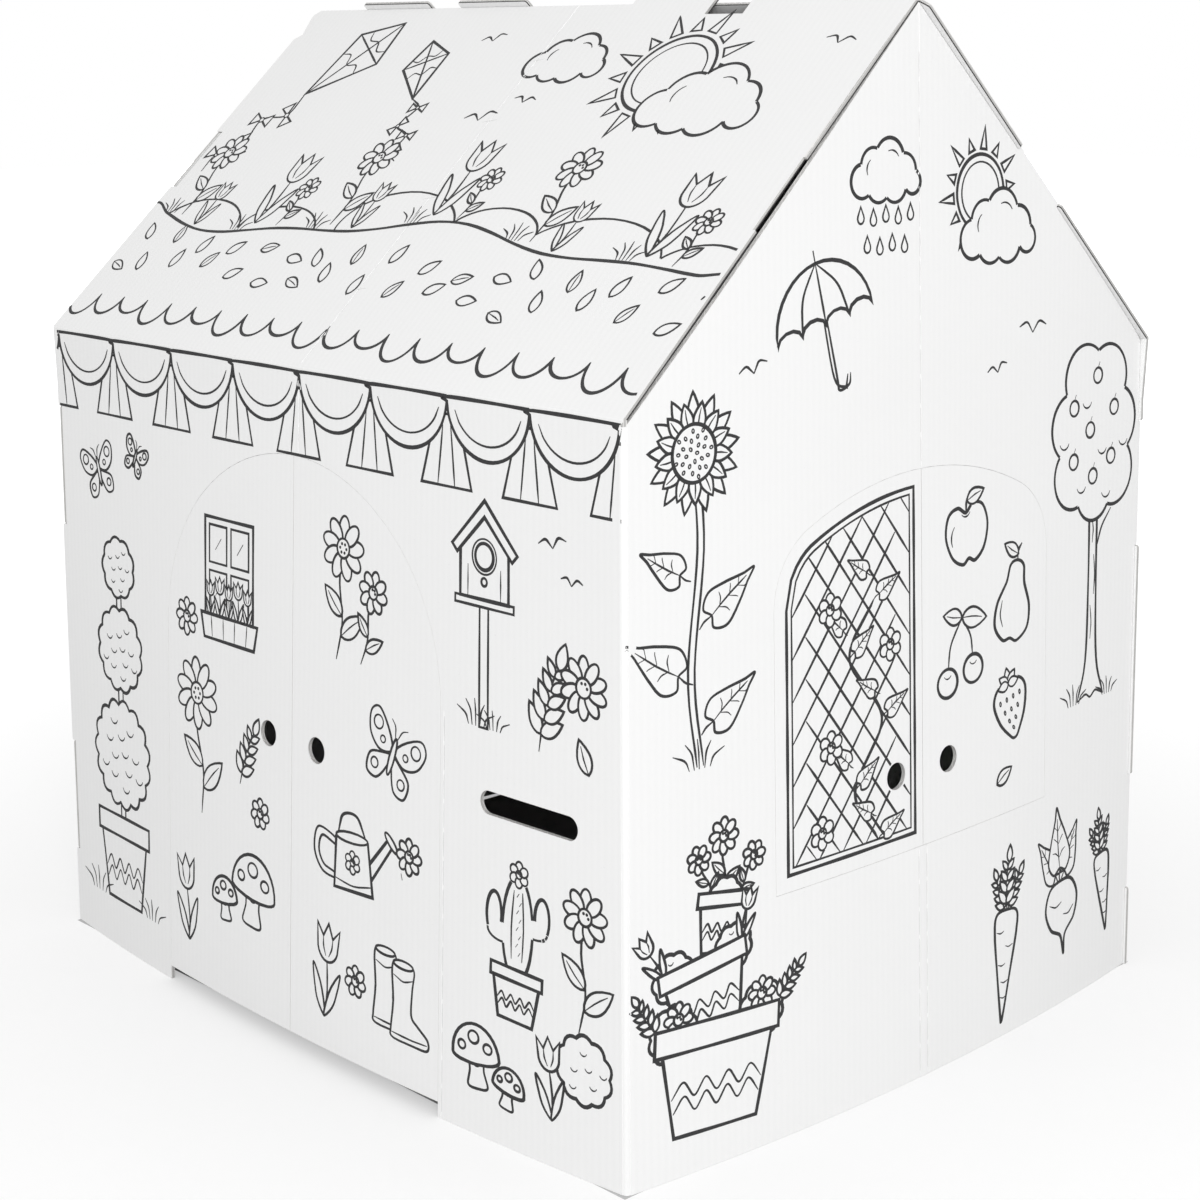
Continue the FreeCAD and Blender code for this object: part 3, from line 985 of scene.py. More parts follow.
def daisy(height: float, reach: float, petals: int, pen: float = FINE) -> Drawing:
    """A daisy on its stem, which stands on the origin.

    Args:
        height: From the foot of the stem to the middle of the head.
        reach: Radius of the head.
        petals: How many petals.
        pen: Width of the pen.

    Returns:
        The drawing.
    """
    stem = [(0.0, 0.0), (height * 0.05, height * 0.35), (-height * 0.02, height * 0.7), (0.0, height)]
    picture = Drawing().curve(*stem, width=pen)
    picture.place(leaf(height * 0.38, height * 0.09), (height * 0.045, height * 0.22), turn=40)
    picture.place(leaf(height * 0.34, height * 0.08), (height * 0.04, height * 0.40), turn=140)
    return picture.place(flower(petals, reach, reach * 0.3, pen), (0.0, height))


def tulip(height: float, pen: float = FINE) -> Drawing:
    """A tulip that stands on the origin.

    Args:
        height: Its height.
        pen: Width of the pen.

    Returns:
        The drawing.
    """
    parts = Drawing().curve((0.0, 0.0), (3.0, 30.0), (0.0, 64.0), width=pen)
    for hand in (-1, 1):
        parts.shape((0.0, 2.0), (hand * 15, 20.0), (hand * 23, 54.0), (hand * 10, 38.0), (hand * 2, 18.0),
                    width=pen)
    cup = arc_places((0.0, 80.0), 17.0, 18.0, 180.0, 360.0, 15.0)
    parts.plate(*cup, (19.0, 101.0), (8.0, 89.0), (0.0, 104.0), (-8.0, 89.0), (-19.0, 101.0), width=pen)
    for hand in (-1, 1):
        parts.curve((hand * 8, 89.0), (hand * 7, 78.0), (hand * 2.5, 68.0), width=1.8)
    return parts.scaled(height, drawn=104)


def broad_leaf(length: float, pen: float = FINE) -> Drawing:
    """A broad heart-shaped leaf on a short stalk, along X from the origin.

    Args:
        length: Its length.
        pen: Width of the pen.

    Returns:
        The drawing.
    """
    parts = Drawing().curve((0.0, 0.0), (10.0, 2.0), (22.0, 0.0), width=pen)
    parts.shape((22.0, 0.0), (17.0, 14.0), (34.0, 24.0), (62.0, 15.0), (84.0, 5.0), (100.0, 0.0),
                (84.0, -6.0), (60.0, -17.0), (34.0, -24.0), (17.0, -13.0), width=pen)
    parts.curve((22.0, 0.0), (50.0, 1.5), (86.0, 0.0), width=1.7)
    for root in (36.0, 54.0, 70.0):
        for hand in (-1, 1):
            tip = (root + 9, hand * (100 - root) * 0.22)
            parts.curve((root, 0.0), (root + 7, hand * 7.0), tip, width=1.5)
    return parts.scaled(length, drawn=100)


def sunflower(height: float, reach: float) -> Drawing:
    """A tall sunflower that stands on the origin.

    Args:
        height: From the foot to the middle of the head.
        reach: Radius of the head.

    Returns:
        The drawing.
    """
    stem = [(0.0, 0.0), (-height * 0.03, height * 0.3), (height * 0.02, height * 0.7), (0.0, height)]
    picture = Drawing()
    for side in (-3.6, 3.6):
        picture.curve(*[(x + side, y) for x, y in stem])
    for share, turn, long in ((0.10, 34, 74), (0.27, 148, 84), (0.44, 34, 76), (0.60, 150, 62)):
        picture.place(broad_leaf(long), (2.0 if turn < 90 else -6.0, height * share), turn=turn)
    head = Drawing()
    for ring in (1.0, 0.84):
        for number in range(13):
            turn = 360 / 13 * (number + (0.5 if ring < 1 else 0.0)) + 90
            root = spun([(reach * 0.34, 0.0)], turn)[0]
            head.place(leaf(reach * (ring - 0.34), reach * 0.135, rib=ring < 1), root, turn=turn)
    head.oval((0.0, 0.0), reach * 0.48, width=BROAD)
    for number in range(26):
        seed = spun([(reach * 0.083 * math.sqrt(number + 0.6), 0.0)], WINDING * number)[0]
        head.oval(seed, 1.7, 1.2, WINDING * number, 1.3)
    return picture.place(head, (0.0, height))


def sprig(length: float, pairs: int = 4) -> Drawing:
    """A leafy sprig along X from the origin.

    Args:
        length: Its length.
        pairs: How many pairs of leaves it has.

    Returns:
        The drawing.
    """
    picture = Drawing().curve((0.0, 0.0), (length * 0.5, length * 0.06), (length * 0.86, 0.0))
    for number in range(pairs):
        root = (length * (0.16 + 0.7 * number / pairs), length * 0.03)
        size = length * (0.30 - 0.03 * number)
        for turn in (46, -46):
            picture.place(leaf(size, size * 0.24, rib=False), root, turn=turn)
    return picture.place(leaf(length * 0.26, length * 0.07, rib=False), (length * 0.8, 0.0))


def grass(width: float, height: float) -> Drawing:
    """A tuft of grass that stands on the origin.

    Args:
        width: How far it spreads.
        height: Its height.

    Returns:
        The drawing.
    """
    picture = Drawing()
    for lean, tall in ((-1.0, 0.6), (-0.55, 0.9), (-0.1, 1.0), (0.4, 0.85), (0.9, 0.55)):
        foot = lean * width * 0.2
        picture.curve((foot, 0.0), (foot + lean * width * 0.08, height * tall * 0.6),
                      (foot + lean * width * 0.3, height * tall), width=1.9)
    return picture


def kite(size: float) -> Drawing:
    """A kite with a tail of bows, about its crossing.

    Args:
        size: Its height.

    Returns:
        The drawing.
    """
    parts = Drawing().plate((0.0, 42.0), (32.0, 4.0), (0.0, -62.0), (-32.0, 4.0))
    parts.line((0.0, 42.0), (0.0, -62.0)).line((-32.0, 4.0), (32.0, 4.0))
    parts.curve((-22.0, 15.5), (-12.0, 9.0), (0.0, 14.0), (12.0, 9.0), (22.0, 15.5), width=1.8)
    parts.curve((-21.0, -17.5), (-11.0, -12.0), (0.0, -19.0), (11.0, -12.0), (21.0, -17.5), width=1.8)
    tail = [(0.0, -62.0), (13.0, -84.0), (-8.0, -106.0), (10.0, -130.0), (-4.0, -154.0), (6.0, -172.0)]
    parts.curve(*tail)
    for (x, y), turn in zip(tail[1:5], (-24, 30, -26, 24)):
        bow = Drawing().plate((0.0, 0.0), (15.0, 8.0), (15.0, -8.0), width=FINE)
        bow.plate((0.0, 0.0), (-15.0, 8.0), (-15.0, -8.0), width=FINE).oval((0.0, 0.0), 3.2, width=1.8)
        parts.place(bow, (x, y), 0.85, turn)
    return parts.scaled(size, drawn=104)


def cloud(width: float) -> Drawing:
    """A cloud about its middle.

    Args:
        width: Its width.

    Returns:
        The drawing.
    """
    kin = next(NEW_FAMILY)
    parts = Drawing()
    lobes = ((-40, -4, 19), (-21, 12, 21), (7, 18, 25), (33, 5, 20), (47, -8, 14), (-12, -9, 20),
             (16, -10, 20))
    for x, y, radius in lobes:
        parts.oval((x, y), radius, width=BROAD, family=kin)
    parts.arc((-19.0, 8.0), 13.0, 120.0, 205.0, width=1.8).arc((10.0, 14.0), 15.0, 30.0, 110.0, width=1.8)
    return parts.scaled(width, drawn=120)


def drops(count: int, spread: float, fall: float) -> Drawing:
    """Two staggered rows of rain drops, below the origin.

    Args:
        count: Drops in the upper row.
        spread: Width of the row.
        fall: Height over both rows.

    Returns:
        The drawing.
    """
    drop = Drawing().plate((0.0, 8.0), *arc_places((0.0, -2.0), 4.2, 4.6, 25.0, -205.0, 30.0), width=1.9)
    picture = Drawing()
    for row in range(2):
        for number in range(count - row):
            across = spread * ((number + row / 2) / (count - 1) - 0.5)
            picture.place(drop, (across, -fall * (0.3 + 0.6 * row) - 2.5 * (number % 2)))
    return picture


def sun(radius: float, rays: int = 14) -> Drawing:
    """A sun with straight rays, long and short in turn.

    Args:
        radius: Radius of the disc.
        rays: How many rays.

    Returns:
        The drawing.
    """
    picture = Drawing()
    for number in range(rays):
        tip = radius * (1.74 if number % 2 else 1.48)
        wedge = [(radius * 1.14, -radius * 0.13), (tip, 0.0), (radius * 1.14, radius * 0.13)]
        picture.plate(*spun(wedge, 360 / rays * number + 6), width=FINE)
    picture.oval((0.0, 0.0), radius, width=BROAD)
    return picture.oval((0.0, 0.0), radius * 0.8, width=1.8, solid=False)


def bird(span: float) -> Drawing:
    """A far-off bird: two strokes of the wing."""
    left = Drawing().curve((0.0, 0.0), (-9.0, 9.0), (-20.0, 5.0))
    return left.curve((0.0, 0.0), (9.0, 10.0), (20.0, 7.0)).scaled(span, drawn=40)


def umbrella(size: float) -> Drawing:
    """An open umbrella about the middle of its canopy's edge.

    Args:
        size: Its width.

    Returns:
        The drawing.
    """
    parts = Drawing()
    for side in (-1.8, 1.8):
        hook = ((side * -2.2 + 6, -58.0), (13.0 + side, -57.0), (17.0 + side, -48.0))
        parts.curve((side, 8.0), (side, -46.0), *hook)
    hem = [place for left in (30, 0, -30, -60)
           for place in arc_places((left + 15.0, 0.0), 15.0, 9.0, 0.0, 170.0, 34.0)]
    parts.plate(*arc_places((0.0, 0.0), 60.0, 54.0, 180.0, 10.0, 10.0), *hem)
    for foot in (-30.0, 0.0, 30.0):
        parts.curve((0.0, 54.0), (foot * 0.72, 30.0), (foot, 0.0))
    parts.line((0.0, 54.0), (0.0, 65.0), width=BROAD)
    return parts.scaled(size, drawn=120)


def butterfly(span: float) -> Drawing:
    """A butterfly seen from above, about its middle.

    Args:
        span: Over its wings.

    Returns:
        The drawing.
    """
    hind = ((2.0, -2.0), (14.0, -5.0), (29.0, -14.0), (28.0, -31.0), (14.0, -32.0), (5.0, -18.0))
    fore = ((2.0, 4.0), (12.0, 20.0), (31.0, 33.0), (41.0, 24.0), (35.0, 5.0), (18.0, -4.0))
    parts = Drawing()
    for hand in (-1, 1):
        for wing in (hind, fore):
            parts.shape(*[(hand * x, y) for x, y in wing], width=FINE)
        parts.oval((hand * 28.0, 19.0), 6.5, width=1.8).oval((hand * 17.0, 7.0), 3.4, width=1.6)
        parts.oval((hand * 20.0, -20.0), 5.0, width=1.8)
        parts.curve((hand * 1.0, 15.0), (hand * 5.0, 27.0), (hand * 12.0, 32.0), width=1.7)
    parts.oval((0.0, -2.0), 3.6, 19.0)
    return parts.scaled(span, drawn=84)


def mushroom(size: float) -> Drawing:
    """A spotted mushroom that stands on the origin.

    Args:
        size: Its height.

    Returns:
        The drawing.
    """
    parts = Drawing().shape(*both_sides((-10.0, 42.0), (-11.0, 20.0), (-15.0, 3.0), (0.0, 0.0)), width=FINE)
    parts.curve((-11.0, 30.0), (0.0, 25.0), (11.0, 30.0), width=1.8)
    parts.plate(*arc_places((0.0, 36.0), 36.0, 36.0, 0.0, 180.0, 12.0),
                *arc_places((0.0, 36.0), 36.0, 9.0, 195.0, 345.0, 15.0))
    parts.oval((-2.0, 57.0), 8.0, 7.0).oval((-21.0, 46.0), 5.5, 5.0)
    return parts.oval((19.0, 47.0), 6.5, 5.5).scaled(size, drawn=72)


def pot(wide: float, tall: float) -> Drawing:
    """A flower pot with a wavy band, which stands on the origin.

    Args:
        wide: Width of its rim.
        tall: Its height.

    Returns:
        The drawing.
    """
    half, lip = wide / 2, tall * 0.24
    picture = Drawing().block(half * 0.66, 0.0, half * 0.88, tall - lip).block(half, tall - lip, half, tall)
    reach = half * 0.72
    wave = [(reach * (k / 4 - 1), tall * (0.40 + (0.09 if k % 2 else -0.05))) for k in range(9)]
    picture.curve(*wave, width=1.9)
    return picture.curve(*[(x * 0.95, y - tall * 0.13) for x, y in wave], width=1.9)


def bush(radius: float, bumps: int, ticks: int) -> Drawing:
    """A clipped ball of leaves about its middle.

    Args:
        radius: Its radius.
        bumps: Bumps round its outline.
        ticks: Small strokes inside.

    Returns:
        The drawing.
    """
    turns = np.linspace(0.0, math.tau, bumps * 6, endpoint=False)
    reach = [radius * (0.91 + 0.10 * abs(math.sin(a * bumps / 2))) for a in turns]
    picture = Drawing().plate(*[(r * math.cos(a), r * math.sin(a)) for r, a in zip(reach, turns)])
    for number in range(ticks):
        middle = spun([(radius * 0.72 * math.sqrt((number + 0.5) / ticks), 0.0)], WINDING * number + 40)[0]
        picture.arc(middle, radius * 0.13, 200.0, 340.0, width=1.8)
    return picture


def topiary(height: float) -> Drawing:
    """A tree clipped into three balls, in a pot that stands on the origin.

    Args:
        height: Its height.

    Returns:
        The drawing.
    """
    parts = Drawing()
    for side in (-4.5, 4.5):
        parts.line((side, 80.0), (side, 390.0))
    for middle, radius, bumps in ((160.0, 58.0, 15), (272.0, 45.0, 12), (358.0, 32.0, 9)):
        parts.place(bush(radius, bumps, 5 + bumps // 2), (0.0, middle))
    parts.place(pot(108.0, 92.0))
    return parts.scaled(height, drawn=392)


def cactus(height: float) -> Drawing:
    """A cactus in a pot that stands on the origin.

    Args:
        height: Its height.

    Returns:
        The drawing.
    """
    kin = next(NEW_FAMILY)
    parts = Drawing().oval((0.0, 78.0), 17.0, 44.0, width=BROAD, family=kin)
    parts.oval((-27.0, 84.0), 8.5, 19.0, width=BROAD, family=kin).oval((-19.0, 71.0), 15.0, 8.0, family=kin)
    parts.oval((27.0, 94.0), 8.0, 17.0, width=BROAD, family=kin).oval((19.0, 83.0), 14.0, 7.5, family=kin)
    for across in (-6.0, 6.0):
        parts.curve((across, 52.0), (across * 1.15, 80.0), (across * 0.8, 110.0), width=1.7)
    for k in range(8):
        side = -1 if k % 2 else 1
        parts.line((side * 1.5, 56.0 + 7 * k), (side * 1.5 + 2.4, 59.5 + 7 * k), width=1.5)
    parts.place(flower(6, 11.0, 3.4, 1.9), (0.0, 124.0)).place(pot(58.0, 44.0))
    return parts.scaled(height, drawn=134)


def birdhouse(height: float) -> Drawing:
    """A bird house on a post that stands on the origin.

    Args:
        height: Its height.

    Returns:
        The drawing.
    """
    parts = Drawing().block(5.0, 0.0, 5.0, 98.0, FINE).block(34.0, 96.0, 34.0, 102.0, FINE)
    parts.plate((-28.0, 102.0), (28.0, 102.0), (28.0, 148.0), (0.0, 174.0), (-28.0, 148.0))
    parts.plate((-38.0, 142.0), (0.0, 180.0), (38.0, 142.0), (32.0, 136.0), (0.0, 167.0), (-32.0, 136.0))
    parts.oval((0.0, 136.0), 10.5, width=BROAD).oval((0.0, 136.0), 14.0, width=1.7, solid=False)
    parts.oval((0.0, 116.0), 3.2)
    for across in (-19.0, 19.0):
        parts.line((across, 103.0), (across, 128.0), width=1.6)
    parts.place(grass(46.0, 22.0), (-8.0, 0.0)).place(grass(40.0, 16.0), (12.0, 0.0))
    return parts.scaled(height, drawn=180)


def watering_can(width: float) -> Drawing:
    """A watering can, about the middle of its foot.

    Args:
        width: Over spout and handle.

    Returns:
        The drawing.
    """
    parts = Drawing()
    parts.shape((-24.0, 46.0), (-50.0, 52.0), (-57.0, 30.0), (-46.0, 12.0), (-26.0, 8.0), (-27.0, 13.0),
                (-43.0, 18.0), (-50.0, 31.0), (-44.0, 45.0), (-25.0, 40.0), width=FINE)
    parts.plate((22.0, 10.0), (58.0, 52.0), (52.0, 58.0), (21.0, 27.0), width=BROAD)
    parts.oval((56.5, 56.0), 3.6, 11.5, 44.0, FINE)
    parts.block(28.0, 0.0, 23.0, 50.0)
    parts.curve((-20.0, 52.0), (-12.0, 70.0), (8.0, 71.0), (20.0, 52.0), width=BROAD)
    parts.oval((0.0, 50.0), 23.0, 5.0)
    parts.curve((-27.0, 9.0), (0.0, 5.0), (27.0, 9.0), width=1.8)
    parts.place(flower(6, 11.0, 3.4, 1.9), (0.0, 27.0))
    for x, y in ((67.0, 44.0), (73.0, 55.0), (69.0, 31.0), (77.0, 42.0)):
        parts.line((x, y), (x + 1.5, y - 6.0), width=1.7)
    return parts.scaled(width, drawn=122)


def boots(height: float) -> Drawing:
    """A pair of garden boots that stand on the origin.

    Args:
        height: Their height.

    Returns:
        The drawing.
    """
    boot = Drawing().shape(
        (-14.0, 78.0), (-14.0, 40.0), (-17.0, 14.0), (-15.0, 4.0), (14.0, 3.0), (34.0, 4.0), (35.0, 14.0),
        (22.0, 23.0), (12.0, 32.0), (13.0, 56.0), (14.0, 78.0), width=FINE)
    boot.oval((0.0, 78.0), 14.0, 4.0)
    boot.curve((-16.0, 9.0), (10.0, 8.0), (34.0, 9.0), width=1.8)
    boot.curve((-14.0, 66.0), (0.0, 62.0), (13.5, 66.0), width=1.8)
    parts = Drawing().place(boot, (-14.0, 7.0)).place(boot, (12.0, 0.0))
    return parts.scaled(height, drawn=88)


def casement(width: float) -> Drawing:
    """A window of four panes with a box of flowers, about the middle of the pane bars.

    Args:
        width: Over its frame.

    Returns:
        The drawing.
    """
    parts = Drawing().block(44.0, -50.0, 44.0, 54.0)
    for x, y in itertools.product((-20.0, 20.0), (-23.0, 26.0)):
        parts.plate((x - 16, y - 20), (x + 16, y - 20), (x + 16, y + 20), (x - 16, y + 20), width=FINE)
    for x, y in ((-25.0, 20.0), (15.0, 20.0), (-25.0, -29.0), (15.0, -29.0)):
        parts.line((x, y), (x + 11, y + 13), width=1.5)
    for number in range(5):
        parts.place(tulip(40.0 + 6 * (number % 2), 1.9), (-34.0 + 17 * number, -54.0))
    parts.block(46.0, -76.0, 52.0, -50.0)
    for across in (-31.0, -10.0, 10.0, 31.0):
        parts.line((across, -74.0), (across * 1.07, -52.0), width=1.7)
    return parts.scaled(width, drawn=104)


def tree(height: float) -> Drawing:
    """A round tree with fruit, which stands on the origin.

    Args:
        height: Its height.

    Returns:
        The drawing.
    """
    kin = next(NEW_FAMILY)
    parts = Drawing()
    trunk = [(7.0, 215.0), (7.0, 120.0), (10.0, 40.0), (24.0, 0.0)]
    for hand in (-1, 1):
        parts.curve(*[(x * hand, y) for x, y in trunk], width=BROAD)
    parts.curve((-24.0, 0.0), (-9.0, 5.0), (0.0, 1.0), (10.0, 6.0), (24.0, 0.0))
    for x, y, length in ((-2.0, 60.0, 34.0), (3.0, 104.0, 40.0), (-1.0, 156.0, 26.0)):
        parts.curve((x, y), (x + 1.5, y + length / 2), (x - 1, y + length), width=1.7)
    parts.curve((7.0, 150.0), (16.0, 170.0), (32.0, 186.0))
    for x, y, radius in ((-36, 226, 32), (36, 222, 33), (-40, 274, 33), (39, 272, 34), (-17, 318, 34),
                         (22, 316, 33), (0, 256, 48), (0, 208, 30)):
        parts.oval((x, y), radius, width=BROAD, family=kin)
    for x, y in ((-36, 240), (30, 238), (-8, 268), (34, 286), (-36, 292), (4, 320), (-2, 222)):
        parts.oval((x, y), 7.5).line((x, y + 7.5), (x + 3, y + 13.0), width=1.6)
    for x, y in ((-14, 298), (14, 250), (-52, 262), (52, 254), (-22, 216), (22, 206)):
        parts.arc((x, y), 8.0, 200.0, 340.0, width=1.8)
    parts.place(grass(50.0, 22.0), (-30.0, -2.0)).place(grass(44.0, 18.0), (32.0, -2.0))
    return parts.scaled(height, drawn=352)


def apple(size: float) -> Drawing:
    """An apple about its middle.

    Args:
        size: Its width.

    Returns:
        The drawing.
    """
    parts = Drawing().shape(*both_sides((0.0, 22.0), (-12.0, 29.0), (-27.0, 24.0), (-33.0, 4.0),
                                        (-25.0, -18.0), (-10.0, -28.0), (0.0, -24.0)))
    parts.curve((0.0, 20.0), (2.0, 32.0), (8.0, 42.0), width=BROAD)
    parts.place(leaf(28.0, 7.5), (3.0, 33.0), turn=12)
    parts.arc((0.0, 26.0), 8.0, 215.0, 325.0, width=1.8).arc((-8.0, -1.0), 17.0, 130.0, 200.0, width=1.8)
    return parts.scaled(size, drawn=66)


def pear(size: float) -> Drawing:
    """A pear about its middle.

    Args:
        size: Its height.

    Returns:
        The drawing.
    """
    parts = Drawing().shape(*both_sides((0.0, 38.0), (-11.0, 33.0), (-15.0, 16.0), (-27.0, -6.0),
                                        (-27.0, -28.0), (-12.0, -41.0), (0.0, -39.0)))
    parts.curve((0.0, 38.0), (-1.0, 47.0), (4.0, 55.0), width=BROAD)
    parts.place(leaf(26.0, 7.0), (0.0, 44.0), turn=160)
    parts.curve((-19.0, -2.0), (-20.0, -16.0), (-14.0, -28.0), width=1.8)
    return parts.scaled(size, drawn=96)


def cherries(size: float) -> Drawing:
    """Two cherries that hang from the origin.

    Args:
        size: Their height.

    Returns:
        The drawing.
    """
    parts = Drawing().curve((2.0, 0.0), (-14.0, -22.0), (-18.0, -44.0))
    parts.curve((2.0, 0.0), (14.0, -18.0), (17.0, -36.0))
    parts.place(leaf(36.0, 9.5), (2.0, 0.0), turn=-8).place(leaf(27.0, 7.5), (2.0, 0.0), turn=168)
    for x, y in ((-19.0, -56.0), (18.0, -49.0)):
        parts.oval((x, y), 14.0, 13.0, width=BROAD).arc((x, y + 10.0), 6.0, 215.0, 325.0, width=1.7)
    return parts.scaled(size, drawn=70)


def strawberry(size: float) -> Drawing:
    """A strawberry about its middle.

    Args:
        size: Its height.

    Returns:
        The drawing.
    """
    parts = Drawing().shape(*both_sides((0.0, 22.0), (-17.0, 24.0), (-27.0, 11.0), (-21.0, -12.0),
                                        (-7.0, -31.0), (0.0, -35.0)))
    for row, (up, count) in enumerate(((8.0, 4), (-4.0, 3), (-15.0, 2), (-24.0, 1))):
        for number in range(count):
            parts.oval(((number - (count - 1) / 2) * 11.0, up), 1.2, 2.2, 12.0 * row, 1.5)
    for turn in (90, 40, 140, 0, 180):
        parts.place(leaf(17.0, 5.0, 2.0, rib=False), (0.0, 23.0), turn=turn)
    return parts.scaled(size, drawn=74)


def carrot(height: float) -> Drawing:
    """A carrot with its leaves, about the top of the root.

    Args:
        height: Over root and leaves.

    Returns:
        The drawing.
    """
    parts = Drawing()
    for turn, long in ((62, 46), (118, 46), (90, 58)):
        parts.place(sprig(long, 4), (0.0, 2.0), turn=turn)
    parts.shape((0.0, 5.0), (-15.0, 2.0), (-17.0, -14.0), (-10.0, -52.0), (-2.0, -90.0), (0.0, -97.0),
                (3.0, -88.0), (10.0, -52.0), (17.0, -14.0), (15.0, 2.0))
    for up, side in ((-14.0, -1), (-28.0, 1), (-44.0, -1), (-60.0, 1), (-74.0, -1)):
        edge = side * (16.0 + up * 0.15)
        parts.curve((edge, up), (edge - side * 6, up - 1.5), (edge - side * 11, up), width=1.7)
    return parts.scaled(height, drawn=155)


def beet(height: float) -> Drawing:
    """A beetroot with its leaves, about the top of the root.

    Args:
        height: Over root and leaves.

    Returns:
        The drawing.
    """
    parts = Drawing()
    for turn, long in ((58, 62), (122, 62), (90, 76)):
        parts.place(broad_leaf(long), (0.0, 0.0), turn=turn)
    parts.shape((0.0, 4.0), (-18.0, 0.0), (-27.0, -18.0), (-20.0, -38.0), (-5.0, -49.0), (-1.0, -68.0),
                (3.0, -50.0), (20.0, -38.0), (27.0, -18.0), (18.0, 0.0))
    parts.curve((-20.0, -14.0), (-10.0, -19.0), (0.0, -17.0), width=1.8)
    parts.curve((20.0, -27.0), (11.0, -32.0), (2.0, -30.0), width=1.8)
    return parts.scaled(height, drawn=144)


def stacked_pots(height: float) -> Drawing:
    """Three leaning pots of plants, one in another, which stand on the origin.

    Args:
        height: Over pots and plants.

    Returns:
        The drawing.
    """
    top = Drawing().place(daisy(64.0, 19.0, 8), (-4.0, 52.0), turn=6)
    top.place(daisy(46.0, 15.0, 7), (14.0, 52.0), turn=-24)
    top.place(daisy(48.0, 15.0, 7), (-16.0, 52.0), turn=30)
    top.place(bush(22.0, 8, 3), (0.0, 54.0)).place(pot(70.0, 60.0))
    middle = Drawing().place(bush(26.0, 9, 4), (-38.0, 74.0)).place(bush(24.0, 8, 4), (40.0, 76.0))
    middle.place(tulip(58.0), (-48.0, 76.0), turn=24).place(tulip(56.0), (50.0, 76.0), turn=-22)
    middle.place(pot(112.0, 82.0))
    foot = Drawing().place(bush(30.0, 10, 5), (-58.0, 106.0)).place(bush(30.0, 10, 5), (56.0, 108.0))
    foot.place(sprig(56.0, 4), (-74.0, 108.0), turn=128).place(flower(8, 18.0, 6.0), (-52.0, 120.0))
    foot.place(sprig(56.0, 4), (76.0, 108.0), turn=48).place(flower(8, 18.0, 6.0), (56.0, 124.0))
    parts = Drawing().place(top, (6.0, 178.0), turn=-9).place(middle, (-4.0, 98.0), turn=8)
    parts.place(foot, turn=-3).place(pot(160.0, 112.0), turn=-3)
    return parts.scaled(height, drawn=330)


# ---------------------------------------------------------------- what is printed where

@dataclass(frozen=True)
class Opening:
    """A pair of leaves under a three-centred arch, in millimetres, with what is cut through them."""

    middle: float
    half_width: float
    sill: float
    spring: float
    rise: float
    shoulder: float
    hole_offset: float
    hole_height: float
    hole_radius: float = 12.5
    hole_margin: float = 0.8    # that print stays away from a finger hole

    def arch(self, away: np.ndarray, inset: float) -> np.ndarray:
        """Height of the arch at some distances from its middle.

        Args:
            away: The distances.
            inset: How far inside the cut line the arch runs, negative for outside.

        Returns:
            The heights above the floor.
        """
        half, rise, shoulder = self.half_width - inset, self.rise - inset, self.shoulder - inset
        reach, lift = half - shoulder, rise - shoulder
        crown = (reach * reach - lift * lift) / (lift * 2) + rise
        side = reach * crown / (crown - shoulder)
        over_crown = self.spring + rise - crown + np.sqrt(np.maximum(crown ** 2 - away ** 2, 0.0))
        over_side = self.spring + np.sqrt(np.maximum(shoulder ** 2 - (away - reach) ** 2, 0.0))
        return np.where(away < side, over_crown, over_side)

    def inside(self, points: np.ndarray, margin: float) -> np.ndarray:
        """Tell which points lie inside the opening.

        Args:
            points: Places on the panel.
            margin: How far inside the cut line they have to be, negative for outside.

        Returns:
            True for each point inside.
        """
        away, up = np.abs(points[:, 0] - self.middle), points[:, 1]
        beside = away < self.half_width - margin
        return beside & (up > self.sill + margin) & (up < self.arch(away, margin))

    def holed(self, points: np.ndarray) -> np.ndarray:
        """Tell which points lie over a finger hole."""
        away = np.abs(points[:, 0] - self.middle) - self.hole_offset
        return np.hypot(away, points[:, 1] - self.hole_height) < self.hole_radius + self.hole_margin

    def frame(self, inset: float, low: float, high: float) -> list[Place]:
        """A closed outline that follows the opening at an inset, from one upright end to another.

        Args:
            inset: Distance inside the cut line.
            low: Its left end, across from the opening's middle, no further out than the inset.
            high: Its right end.

        Returns:
            Its corners, anticlockwise from bottom left.
        """
        half, foot = self.half_width - inset, self.sill + inset
        across = np.linspace(min(high, half), max(low, -half), 28)
        top = zip(self.middle + across, self.arch(np.abs(across), inset))
        return [(self.middle + across[-1], foot), (self.middle + across[0], foot), *top]


DOORWAY = Opening(middle=-7.0, half_width=214.0, sill=14.0, spring=371.0, rise=196.0, shoulder=186.0,
                  hole_offset=38.0, hole_height=296.0)
WINDOW = Opening(middle=0.0, half_width=191.0, sill=219.0, spring=466.0, rise=100.0, shoulder=74.0,
                 hole_offset=37.0, hole_height=292.0)
CUT_MARGIN = 0.9    # millimetres that print stays away from a cut


